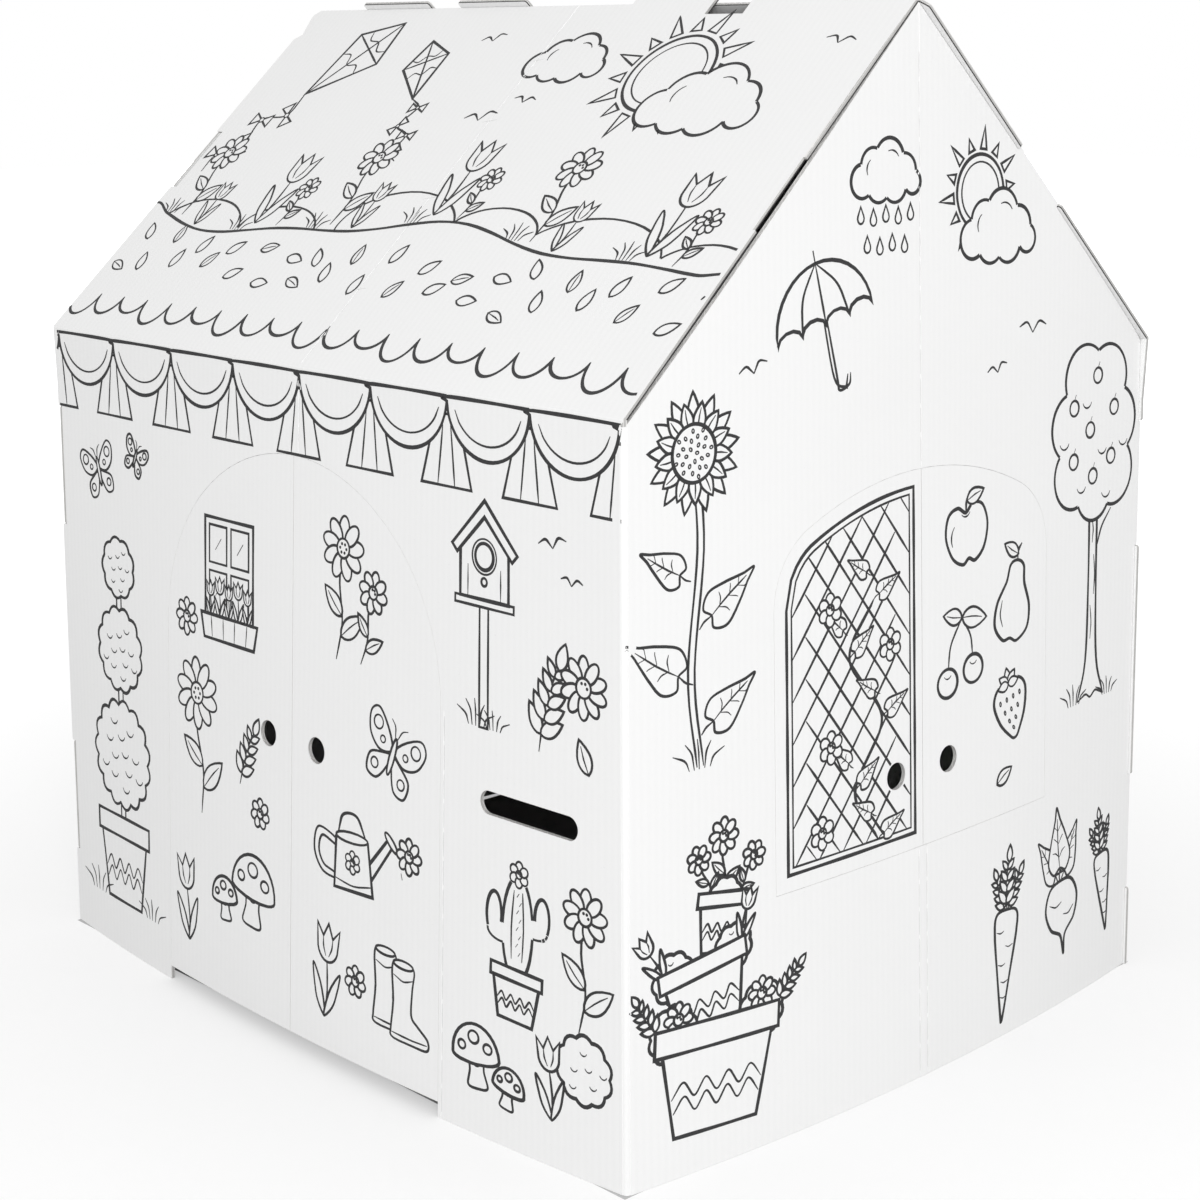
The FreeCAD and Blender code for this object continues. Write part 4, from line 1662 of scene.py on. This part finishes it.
def valance(width: float, pitch: float, drop: float, fan: float) -> Drawing:
    """A swagged edge with a pleated fan hanging between each two swags, hung from the X axis.

    Args:
        width: Its width, about the origin.
        pitch: Width of a swag.
        drop: Depth of a swag.
        fan: Length of a fan.

    Returns:
        The drawing.
    """
    neck, hem = 15.0, 33.0
    pleats = Drawing().block(neck, 0.0, hem, -fan, 2.6)
    for share in (-0.34, 0.34):
        pleats.line((share * neck, -8.0), (share * hem, -fan), width=2.0)
    picture = Drawing()
    count = math.ceil(width / pitch) + 1
    for number in range(count + 1):
        picture.place(pleats, ((number - count / 2) * pitch, -drop * 0.3))
    for number in range(count):
        middle = (number - (count - 1) / 2) * pitch
        picture.shape(*arc_places((middle, 0.0), pitch / 2, drop, 180.0, 360.0, 4.6))
        picture.arc((middle, 0.0), pitch / 2 - 9.0, 196.0, 344.0, drop - 13.0, width=1.9)
    return picture


def wall_print() -> Drawing:
    """Draw the front wall and its doors.

    Returns:
        The drawing, across from the middle of the wall and up from the floor.
    """
    picture = Drawing().place(topiary(392.0), (-318.0, 52.0))
    picture.place(butterfly(66.0), (-352.0, 508.0), turn=18).place(butterfly(44.0), (-280.0, 530.0), turn=-24)
    picture.place(grass(70.0, 26.0), (-376.0, 50.0)).place(grass(60.0, 22.0), (-258.0, 50.0))
    picture.place(casement(96.0), (-112.0, 440.0))
    picture.place(daisy(120.0, 36.0, 10), (-160.0, 190.0), turn=4)
    picture.place(sprig(72.0), (-92.0, 236.0), turn=66)
    picture.place(mushroom(72.0), (-72.0, 98.0), turn=-4).place(mushroom(44.0), (-116.0, 92.0), turn=7)
    picture.place(tulip(88.0), (-184.0, 52.0), turn=5)
    picture.place(flower(8, 19.0, 6.0), (-186.0, 384.0)).place(flower(7, 15.0, 5.0), (-58.0, 214.0))
    picture.place(daisy(104.0, 30.0, 9), (60.0, 388.0), turn=-5)
    picture.place(daisy(70.0, 20.0, 8), (96.0, 390.0), turn=-14)
    picture.place(butterfly(82.0), (142.0, 316.0), turn=-20)
    picture.place(watering_can(122.0), (88.0, 176.0), turn=3)
    picture.place(boots(84.0), (148.0, 52.0)).place(tulip(92.0), (46.0, 44.0), turn=-4)
    picture.place(flower(8, 17.0, 5.5), (166.0, 228.0)).place(flower(7, 15.0, 5.0), (92.0, 92.0))
    picture.place(birdhouse(196.0), (262.0, 366.0)).place(bird(34.0), (346.0, 534.0), turn=8)
    picture.place(bird(26.0), (368.0, 506.0), turn=-6).place(sprig(96.0, 5), (330.0, 360.0), turn=72)
    picture.place(flower(10, 27.0, 8.5), (382.0, 424.0)).place(leaf(30.0, 8.0), (388.0, 352.0), turn=112)
    picture.place(cactus(142.0), (302.0, 116.0), turn=-2).place(bush(31.0, 10, 6), (382.0, 96.0))
    picture.place(mushroom(58.0), (258.0, 42.0), turn=6).place(mushroom(38.0), (292.0, 34.0), turn=-8)
    picture.place(daisy(104.0, 25.0, 9), (376.0, 126.0), turn=-4).place(tulip(74.0), (346.0, 40.0), turn=4)
    return picture.place(valance(876.0, 106.0, 50.0, 62.0), (0.0, 645.0))


def gable_print() -> Drawing:
    """Draw the gable and its shutters.

    Returns:
        The drawing, across from the middle of the gable and up from the floor.
    """
    picture = Drawing().place(umbrella(122.0), (-124.0, 704.0), turn=14)
    picture.place(drops(5, 66.0, 42.0), (-46.0, 806.0))
    picture.place(cloud(92.0), (-46.0, 826.0)).place(bird(34.0), (-212.0, 672.0), turn=10)
    picture.place(sun(34.0), (86.0, 806.0)).place(cloud(112.0), (112.0, 768.0))
    picture.place(bird(42.0), (166.0, 672.0), turn=-4).place(bird(30.0), (112.0, 640.0), turn=9)
    picture.place(sunflower(262.0, 50.0), (-276.0, 352.0), turn=1)
    picture.place(grass(60.0, 26.0), (-276.0, 350.0))
    picture.place(tree(352.0), (272.0, 300.0))
    picture.place(stacked_pots(284.0), (-262.0, 34.0))
    picture.place(carrot(166.0), (128.0, 118.0), turn=-5).place(beet(152.0), (222.0, 122.0), turn=6)
    picture.place(carrot(128.0), (300.0, 130.0), turn=8)
    picture.place(apple(62.0), (66.0, 496.0), turn=6).place(pear(92.0), (138.0, 424.0), turn=-10)
    picture.place(cherries(72.0), (56.0, 420.0)).place(strawberry(70.0), (134.0, 322.0), turn=12)
    picture.place(leaf(26.0, 7.0), (112.0, 250.0), turn=28).place(trellis())
    return picture


def trellis() -> Drawing:
    """Draw a trellis with a climber on the front shutter.

    Returns:
        The drawing, in the gable's own places.
    """
    far = -WINDOW.half_width
    inner = WINDOW.frame(21.0, far, -17.0)
    picture = Drawing().plate(*WINDOW.frame(15.0, far, -11.0), solid=False)
    picture.plate(*inner, width=1.9, solid=False)
    pitch, rise, shortest = 37.0, 1.25, 8
    for lean, number in itertools.product((-1.0, 1.0), range(-8, 24)):
        foot = np.array((-180.0 if lean > 0 else -10.0, 150.0 + pitch * number))
        slat = foot + np.arange(0.0, 230.0)[:, None] * np.array((lean, rise)) / math.hypot(1.0, rise)
        held = slat[within(slat, np.array(inner))]
        if len(held) > shortest:
            picture.line(tuple(held[0]), tuple(held[-1]))
    vine = [(-62.0, 240.0), (-92.0, 290.0), (-56.0, 350.0), (-98.0, 410.0), (-66.0, 458.0)]
    picture.curve(*vine, width=BROAD)
    for number, (x, y) in enumerate(vine):
        picture.place(broad_leaf(40.0, 2.0), (x, y), turn=28 + 10 * (number % 2))
        picture.place(broad_leaf(36.0, 2.0), (x - 2.0, y + 22.0), turn=150 - 12 * (number % 2))
    for x, y in ((-122.0, 336.0), (-44.0, 414.0), (-122.0, 458.0), (-134.0, 262.0)):
        picture.place(flower(6, 15.0, 4.8, 2.0), (x, y))
    return picture


def roof_print() -> Drawing:
    """Draw the front roof slope.

    Returns:
        The drawing, across from the middle of the slope and up it from the eave.
    """
    kin = next(NEW_FAMILY)
    picture = Drawing().place(kite(132.0), (-286.0, 414.0), turn=-34)
    picture.place(kite(94.0), (-168.0, 396.0), turn=26)
    bushes = ((-330, 74, 46), (-196, 62, 34), (-20, 84, 50), (118, 62, 34), (258, 92, 52), (400, 60, 38))
    for middle, wide, tall in bushes:
        picture.oval((middle, hill(middle) - 4.0), wide, tall, family=kin)
    for number, across in enumerate((-372, -236, -116, 24, 178, 330)):
        plant = (daisy(92.0, 25.0, 9), tulip(100.0))[number % 2]
        picture.place(plant, (across, hill(across) + 8.0), turn=4 - 8 * (number % 2))
        picture.place(tulip(62.0, 2.0) if number % 2 == 0 else daisy(52.0, 15.0, 8, 2.0),
                      (across + 36.0, hill(across + 36.0) + 4.0), turn=-6)
        picture.place(grass(44.0, 22.0), (across - 24.0, hill(across - 24.0) + 2.0))
    ground = [(across, hill(across)) for across in range(-440, 441, 40)]
    picture.shape(*ground, (470.0, 100.0), (470.0, -40.0), (-470.0, -40.0), (-470.0, 100.0))
    for number in range(34):
        across, up = -422 + 25.6 * number, 94 + 30 * (number % 2) + 7 * math.sin(number * 2.3)
        blade = leaf(25.0, 6.0, 2.0, rib=number % 3 == 0)
        picture.place(blade, (across, up), turn=WINDING * number % 150 - 20)
    for across in range(-418, 440, 44):
        picture.arc((across, 50.0), 22.0, 180.0, 360.0, 20.0 + 5 * (across % 3), width=BROAD)
    picture.place(sun(50.0, 16), (196.0, 386.0)).place(cloud(150.0), (262.0, 346.0))
    picture.place(cloud(112.0), (44.0, 400.0)).place(bird(44.0), (-18.0, 318.0), turn=8)
    picture.place(bird(32.0), (26.0, 344.0), turn=-6).place(bird(34.0), (-90.0, 430.0), turn=12)
    return picture.place(bird(36.0), (374.0, 426.0), turn=-8)


def hill(across: float) -> float:
    """Height of the rolling ground on the roof, in millimetres up the slope."""
    return 166.0 + 15.0 * math.sin(across / 96.0 + 1.1) + 6.0 * math.sin(across / 41.0)


def scores(side: Side, turned: bool) -> Drawing:
    """Draw the creases of a panel, besides those at its folds.

    The front wall has one over the doors and one at the right-hand door's hinge, the back wall one up its
    middle, a gable one above the window and two below it, and a roof one with short ticks across it.

    Args:
        side: The panel.
        turned: Whether it is the rear sheet's.

    Returns:
        The drawing, in the panel's own places.
    """
    foot, over_arches, under_eave = 6.0, 572.0, 640.0
    if side is Side.ROOF:
        picture = Drawing().dashes(0.0, 8.0, 470.0)
        for up in (96.0, 214.0, 318.0, 402.0):
            picture.line((-9.0, up - 2.0), (9.0, up + 2.0), width=SCORE)
        return picture
    if side is Side.GABLE:
        picture = Drawing().dashes(0.0, over_arches, 950.0)
        return picture.dashes(-5.5, foot, WINDOW.sill - 5.0).dashes(5.5, foot, WINDOW.sill - 5.0)
    if turned:
        return Drawing().dashes(0.0, foot, under_eave)
    hinge = DOORWAY.middle + DOORWAY.half_width + 4.5
    return Drawing().dashes(0.0, over_arches, under_eave).dashes(hinge, foot, DOORWAY.spring)


def new_object(name: str, mesh: bpy.types.Mesh, finish: bpy.types.Material) -> bpy.types.Object:
    """Put a mesh in the scene as an object of one finish.

    Args:
        name: The object's name.
        mesh: Its mesh.
        finish: Its material.

    Returns:
        The object.
    """
    mesh.materials.append(finish)
    made = bpy.data.objects.new(name, mesh)
    bpy.context.scene.collection.objects.link(made)
    return made


@dataclass(frozen=True)
class Carrier:
    """A sheet or leaf that takes print."""

    node: str
    body: str
    slot: str

    def board(self) -> bpy.types.Object:
        """The carrier's own mesh."""
        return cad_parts[self.node]


FRONT = Carrier("front_sheet", "house", "front_board")
REAR = Carrier("rear_sheet", "house", "rear_board")
DOORS = (Carrier("door_left", "left_door_leaf", "door_board"),
         Carrier("door_right", "right_door_leaf", "door_board"))
SHUTTERS = (Carrier("right_shutter_front", "right_front_leaf", "shutter_board"),
            Carrier("right_shutter_rear", "right_rear_leaf", "shutter_board"))


@dataclass(frozen=True)
class Printer:
    """Presses drawings on to the board, a piece for each panel or leaf. Lengths are in millimetres."""

    house: House
    ink: bpy.types.Material
    # painted shade for the dashes along the scores
    crease: bpy.types.Material
    height: float = 0.12         # of the ink above the face
    stagger: float = 0.02        # from one line to the next, so that lines that cross don't lie level
    root: float = 0.20           # of the ink below the face
    edge: float = 2.0            # bare board at a wall's or gable's own edges
    fold: float = 1.0            # and below the eave
    fingers: float = 6.0         # how far the roof's print runs on at its left end, over the fingers
    roof_end: float = 4.0        # bare board at the roof's right end
    roof_foot: float = 2.0       # at its eave
    roof_top: float = 10.0       # and at its ridge
    slot_inset: float = 111.0    # the mail slot's middle, from the wall's right-hand end
    slot_height: float = 302.0
    slot_run: float = 48.0       # half the straight length round which nothing is printed
    slot_room: float = 11.5      # and how far round it

    def press_wall(self) -> None:
        """Print the front wall and its doors."""
        strokes, face = wall_print().strokes(), Face(self.house, Side.WALL)
        self.press("wall_print", FRONT, face, strokes, self.on_wall)
        self.press_leaves("door_print", DOORS, face, strokes, DOORWAY)

    def press_gable(self) -> None:
        """Print the right-hand gable and its shutters."""
        strokes, face = gable_print().strokes(), Face(self.house, Side.GABLE)
        self.press("gable_print", FRONT, face, strokes, self.on_gable)
        self.press_leaves("shutter_print", SHUTTERS, face, strokes, WINDOW)

    def press_roof(self) -> None:
        """Print the front roof slope."""
        self.press("roof_print", FRONT, Face(self.house, Side.ROOF), roof_print().strokes(), self.on_roof)

    def score(self) -> None:
        """Paint dashes of shade along the creases of both sheets."""
        for turned, carrier in ((False, FRONT), (True, REAR)):
            for side in Side:
                name = f"{'rear' if turned else 'front'}_{side.value}_creases"
                face, strokes = Face(self.house, side, turned), scores(side, turned).strokes()
                self.press(name, carrier, face, strokes, self.on_panel, self.crease)

    def on_wall(self, points: np.ndarray) -> np.ndarray:
        """Tell which points lie on the front wall, off the doors and the mail slot.

        Args:
            points: Places on the wall.

        Returns:
            True for each such point.
        """
        across, up = points.T
        half, eave = self.house.half_width / MM, self.house.eave / MM
        beside, above = np.abs(points - (half - self.slot_inset, self.slot_height)).T
        clear = np.hypot(np.maximum(beside - self.slot_run, 0.0), above) > self.slot_room
        on_panel = (across > -half) & (across < half - self.edge) & (up < eave - self.fold)
        return on_panel & clear & ~DOORWAY.inside(points, -CUT_MARGIN)

    def on_gable(self, points: np.ndarray) -> np.ndarray:
        """Tell which points lie on the gable, off the window.

        Args:
            points: Places on the gable.

        Returns:
            True for each such point.
        """
        away, up = np.abs(points[:, 0]), points[:, 1]
        half, eave, ridge = self.house.half_depth / MM, self.house.eave / MM, self.house.ridge / MM
        room = half * np.clip((ridge - up) / (ridge - eave), 0.0, 1.0) - self.edge
        return (away < room) & ~WINDOW.inside(points, -CUT_MARGIN)

    def on_roof(self, points: np.ndarray) -> np.ndarray:
        """Tell which points lie on the roof slope.

        Args:
            points: Places on the slope.

        Returns:
            True for each such point.
        """
        across, up = points.T
        half, slope = self.house.half_width / MM, self.house.slope / MM
        along = (across > -half - self.fingers) & (across < half - self.roof_end)
        return along & (up > self.roof_foot) & (up < slope - self.roof_top)

    def on_panel(self, points: np.ndarray) -> np.ndarray:
        """Tell which points are near enough to the middle to lie on any panel."""
        return np.abs(points[:, 0]) < self.house.half_depth / MM - self.edge

    def on_leaf(self, opening: Opening, hand: int, points: np.ndarray) -> np.ndarray:
        """Tell which points lie on one leaf of an opening, off its finger hole.

        Args:
            opening: The opening.
            hand: -1 for the left leaf and 1 for the right one.
            points: Places on the panel.

        Returns:
            True for each such point.
        """
        beside = (points[:, 0] - opening.middle) * hand > CUT_MARGIN
        return beside & opening.inside(points, CUT_MARGIN) & ~opening.holed(points)

    def press_leaves(self, name: str, leaves: tuple[Carrier, Carrier], face: Face, strokes: list[Stroke],
                     opening: Opening) -> None:
        """Print the two leaves of an opening.

        Args:
            name: What the two pieces' names start with.
            leaves: The left leaf and the right leaf.
            face: The panel that they are cut from.
            strokes: The panel's print.
            opening: The opening.
        """
        for hand, end, carrier in zip((-1, 1), ("left", "right"), leaves):
            self.press(f"{name}_{end}", carrier, face, strokes, partial(self.on_leaf, opening, hand))

    def press(self, name: str, carrier: Carrier, face: Face, strokes: list[Stroke],
              kept: Callable[[np.ndarray], np.ndarray], finish: bpy.types.Material | None = None) -> None:
        """Print part of a drawing as one piece.

        Args:
            name: The piece's name.
            carrier: The sheet or leaf that takes it.
            face: The panel that it is on.
            strokes: The drawing's lines.
            kept: Tells which points belong to the piece.
            finish: Its material, if it isn't the ink.
        """
        corners: list[Vector] = []
        faces: list[tuple[int, ...]] = []
        shares = [share.thinned() for stroke in strokes for share in stroke.share(kept(stroke.points))]
        for number, share in enumerate(shares):
            height = self.height + self.stagger * (number % 4)
            self.ribbon(share, face, carrier.board(), height, corners, faces)
        mesh = bpy.data.meshes.new(name)
        mesh.from_pydata(corners, [], faces)
        piece = new_object(name, mesh, finish or self.ink)
        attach(piece, carrier.body)
        LOG.info("%s: %d strokes, %d faces", name, len(shares), len(faces))

    def on_board(self, board: bpy.types.Object, face: Face, across: float, up: float) -> Vector:
        """Find a place on the board's own mesh, whose flat facets follow the bow only roughly.

        Args:
            board: The sheet or leaf.
            face: The panel.
            across: Place on the panel in millimetres.
            up: The same, up it.

        Returns:
            The point on the surface.
        """
        ideal = face.point(across * MM, up * MM)
        start, reach = 0.008, 0.012
        hit, place, _, _ = board.ray_cast(ideal + face.normal * start, -face.normal, distance=reach)
        return place if hit else ideal

    def ribbon(self, stroke: Stroke, face: Face, board: bpy.types.Object, height: float,
               corners: list[Vector], faces: list[tuple[int, ...]]) -> None:
        """Add one line as a thin closed strip of ink.

        Args:
            stroke: The line.
            face: The panel that it is on.
            board: The sheet or leaf that takes it.
            height: Of its top above the face, in millimetres.
            corners: The corners so far, added to.
            faces: The faces so far, added to.
        """
        tiny, least_mitre = 1e-9, 0.55
        points = stroke.points
        looped = len(points) > 3 and np.allclose(points[0], points[-1], atol=0.01)
        steps = np.diff(points, axis=0)
        steps /= np.maximum(np.linalg.norm(steps, axis=1, keepdims=True), tiny)
        before = np.vstack([steps[-1:] if looped else steps[:1], steps])
        after = np.vstack([steps, steps[:1] if looped else steps[-1:]])
        across = np.column_stack([-(before + after)[:, 1], (before + after)[:, 0]])
        across /= np.maximum(np.linalg.norm(across, axis=1, keepdims=True), tiny)
        mitre = np.maximum((across * np.column_stack([-after[:, 1], after[:, 0]])).sum(axis=1), least_mitre)
        reach = across * (stroke.widths / 2 / mitre)[:, None]
        count = len(points) - 1 if looped else len(points)
        first = len(corners)
        for (x, y), (dx, dy) in zip(points[:count], reach[:count]):
            left, right = (self.on_board(board, face, x + side * dx, y + side * dy) for side in (1, -1))
            for place, proud in ((left, height), (right, height), (right, -self.root), (left, -self.root)):
                corners.append(place + face.normal * proud * MM)
        for number in range(count if looped else count - 1):
            here, there = first + 4 * number, first + 4 * ((number + 1) % count)
            for low, high in ((1, 0), (2, 1), (3, 2), (0, 3)):
                faces.append((here + low, there + low, there + high, here + high))
        if not looped:
            last = first + 4 * (count - 1)
            faces.append((first + 1, first, first + 3, first + 2))
            faces.append((last, last + 1, last + 2, last + 3))


# ---------------------------------------------------------------- the studio

@dataclass(frozen=True)
class Studio:
    """Camera, floor, backdrop and lamps."""

    camera_place: Triple = (1.7294, -1.6033, 0.9454)
    azimuth: float = 46.789
    elevation: float = 8.826
    roll: float = -0.349
    lens: float = 70.06
    shift: float = -1 / 6
    sky: float = 0.80
    key_power: float = 136.0
    key_size: float = 2.4
    key_place: Triple = (4.2, -3.4, 2.0)
    key_aim: Triple = (0.44, -0.36, 0.75)
    floor_reach: float = 14.0
    floor_drop: float = 0.0002   # below the house's own foot
    floor_tone: float = 0.52
    floor_mottle: float = 0.006
    floor_glow: float = 0.46     # that the camera sees, outside the house
    floor_share: float = 0.8     # of it in the middle
    floor_swell: float = 0.35    # and more to the metre, so that the floor meets the sky unseen
    footprint: Place = (0.43, 0.36)    # half the ground that the house stands on

    def build(self) -> None:
        """Set up everything that isn't part of the house."""
        self.add_camera()
        self.add_floor()
        self.add_sky()
        self.add_key()
        bpy.context.scene.view_settings.view_transform = "Standard"

    def add_camera(self) -> None:
        """Stand the camera in front of the near corner."""
        data = bpy.data.cameras.new("camera")
        data.lens = self.lens
        data.shift_y = self.shift
        data.clip_end = 50.0
        camera = bpy.data.objects.new("camera", data)
        turn, lift = math.radians(self.azimuth), math.radians(self.elevation)
        back = Vector((math.sin(turn) * math.cos(lift), -math.cos(turn) * math.cos(lift), math.sin(lift)))
        camera.rotation_mode = "QUATERNION"
        roll = Quaternion((0.0, 0.0, 1.0), math.radians(self.roll))
        camera.rotation_quaternion = (-back).to_track_quat("-Z", "Y") @ roll
        camera.location = self.camera_place
        bpy.context.scene.collection.objects.link(camera)
        bpy.context.scene.camera = camera

    def add_floor(self) -> None:
        """Lay a pale floor that shows the shadow of the house and nothing else."""
        recipe = Recipe("studio_floor")
        level = recipe.about(self.floor_tone, recipe.noise(1.3), self.floor_mottle)
        x, y, _ = recipe.axes()
        beyond = [recipe.sum("GREATER_THAN", recipe.sum("ABSOLUTE", place), half)
                  for place, half in zip((x, y), self.footprint)]
        squares = [recipe.sum("MULTIPLY", place, place) for place in (x, y)]
        away = recipe.sum("SQRT", recipe.sum("ADD", *squares))
        seen = recipe.add("ShaderNodeLightPath").outputs["Is Camera Ray"]
        glow = recipe.sum("MULTIPLY", seen, recipe.sum("MAXIMUM", *beyond))
        share = recipe.sum("MULTIPLY_ADD", away, self.floor_swell, self.floor_share)
        glow = recipe.sum("MULTIPLY", recipe.sum("MULTIPLY", glow, self.floor_glow), share)
        recipe.shader.inputs["Emission Color"].default_value = WHITE
        recipe.feed(recipe.shader.inputs["Emission Strength"], glow)
        grid = bmesh.new()
        bmesh.ops.create_grid(grid, x_segments=8, y_segments=8, size=self.floor_reach)
        mesh = bpy.data.meshes.new("studio_floor")
        grid.to_mesh(mesh)
        grid.free()
        floor = new_object("studio_floor", mesh, recipe.done(level, PLAIN, 0.9, 0.0))
        floor.location.z = -self.floor_drop
        LOG.info("studio_floor: %.0f m across", 2 * self.floor_reach)

    def add_sky(self) -> None:
        """Light the house evenly from all round, before a white backdrop."""
        world = bpy.data.worlds.new("studio_sky")
        world.use_nodes = True
        tree = world.node_tree
        path = tree.nodes.new("ShaderNodeLightPath")
        strength = tree.nodes.new("ShaderNodeMath")
        strength.operation = "MULTIPLY_ADD"
        strength.inputs[1].default_value = 1.0 - self.sky
        strength.inputs[2].default_value = self.sky
        tree.links.new(path.outputs["Is Camera Ray"], strength.inputs[0])
        background = next(node for node in tree.nodes if node.type == "BACKGROUND")
        background.inputs["Color"].default_value = WHITE
        tree.links.new(strength.outputs[0], background.inputs["Strength"])
        bpy.context.scene.world = world

    def add_key(self) -> None:
        """Stand a soft lamp off the near corner, close enough to light that end best."""
        data = bpy.data.lights.new("key_lamp", "AREA")
        data.shape = "DISK"
        data.size = self.key_size
        data.energy = self.key_power
        lamp = bpy.data.objects.new("key_lamp", data)
        lamp.location = self.key_place
        lamp.rotation_mode = "QUATERNION"
        aim = Vector(self.key_aim) - Vector(self.key_place)
        lamp.rotation_quaternion = aim.to_track_quat("-Z", "Y")
        bpy.context.scene.collection.objects.link(lamp)


def main() -> None:
    """Dress the house, print it and set it in the studio."""
    logging.basicConfig(level=logging.INFO, format="%(message)s")
    house = House.from_frame()
    LOG.info("house %s", house)
    board = Board(house)
    board.dress("front_sheet", tuple(Side), False)
    board.dress("rear_sheet", tuple(Side), True)
    for name in ("door_left", "door_right"):
        board.dress(name, (Side.WALL,), False)
    for hand, turned in (("right", False), ("left", True)):
        for end in ("front", "rear"):
            board.dress(f"{hand}_shutter_{end}", (Side.GABLE,), turned)
    printer = Printer(house, Ink().material(), Crease().material())
    printer.score()
    printer.press_wall()
    printer.press_gable()
    printer.press_roof()
    Studio().build()


if __name__ == "__main__":
    main()
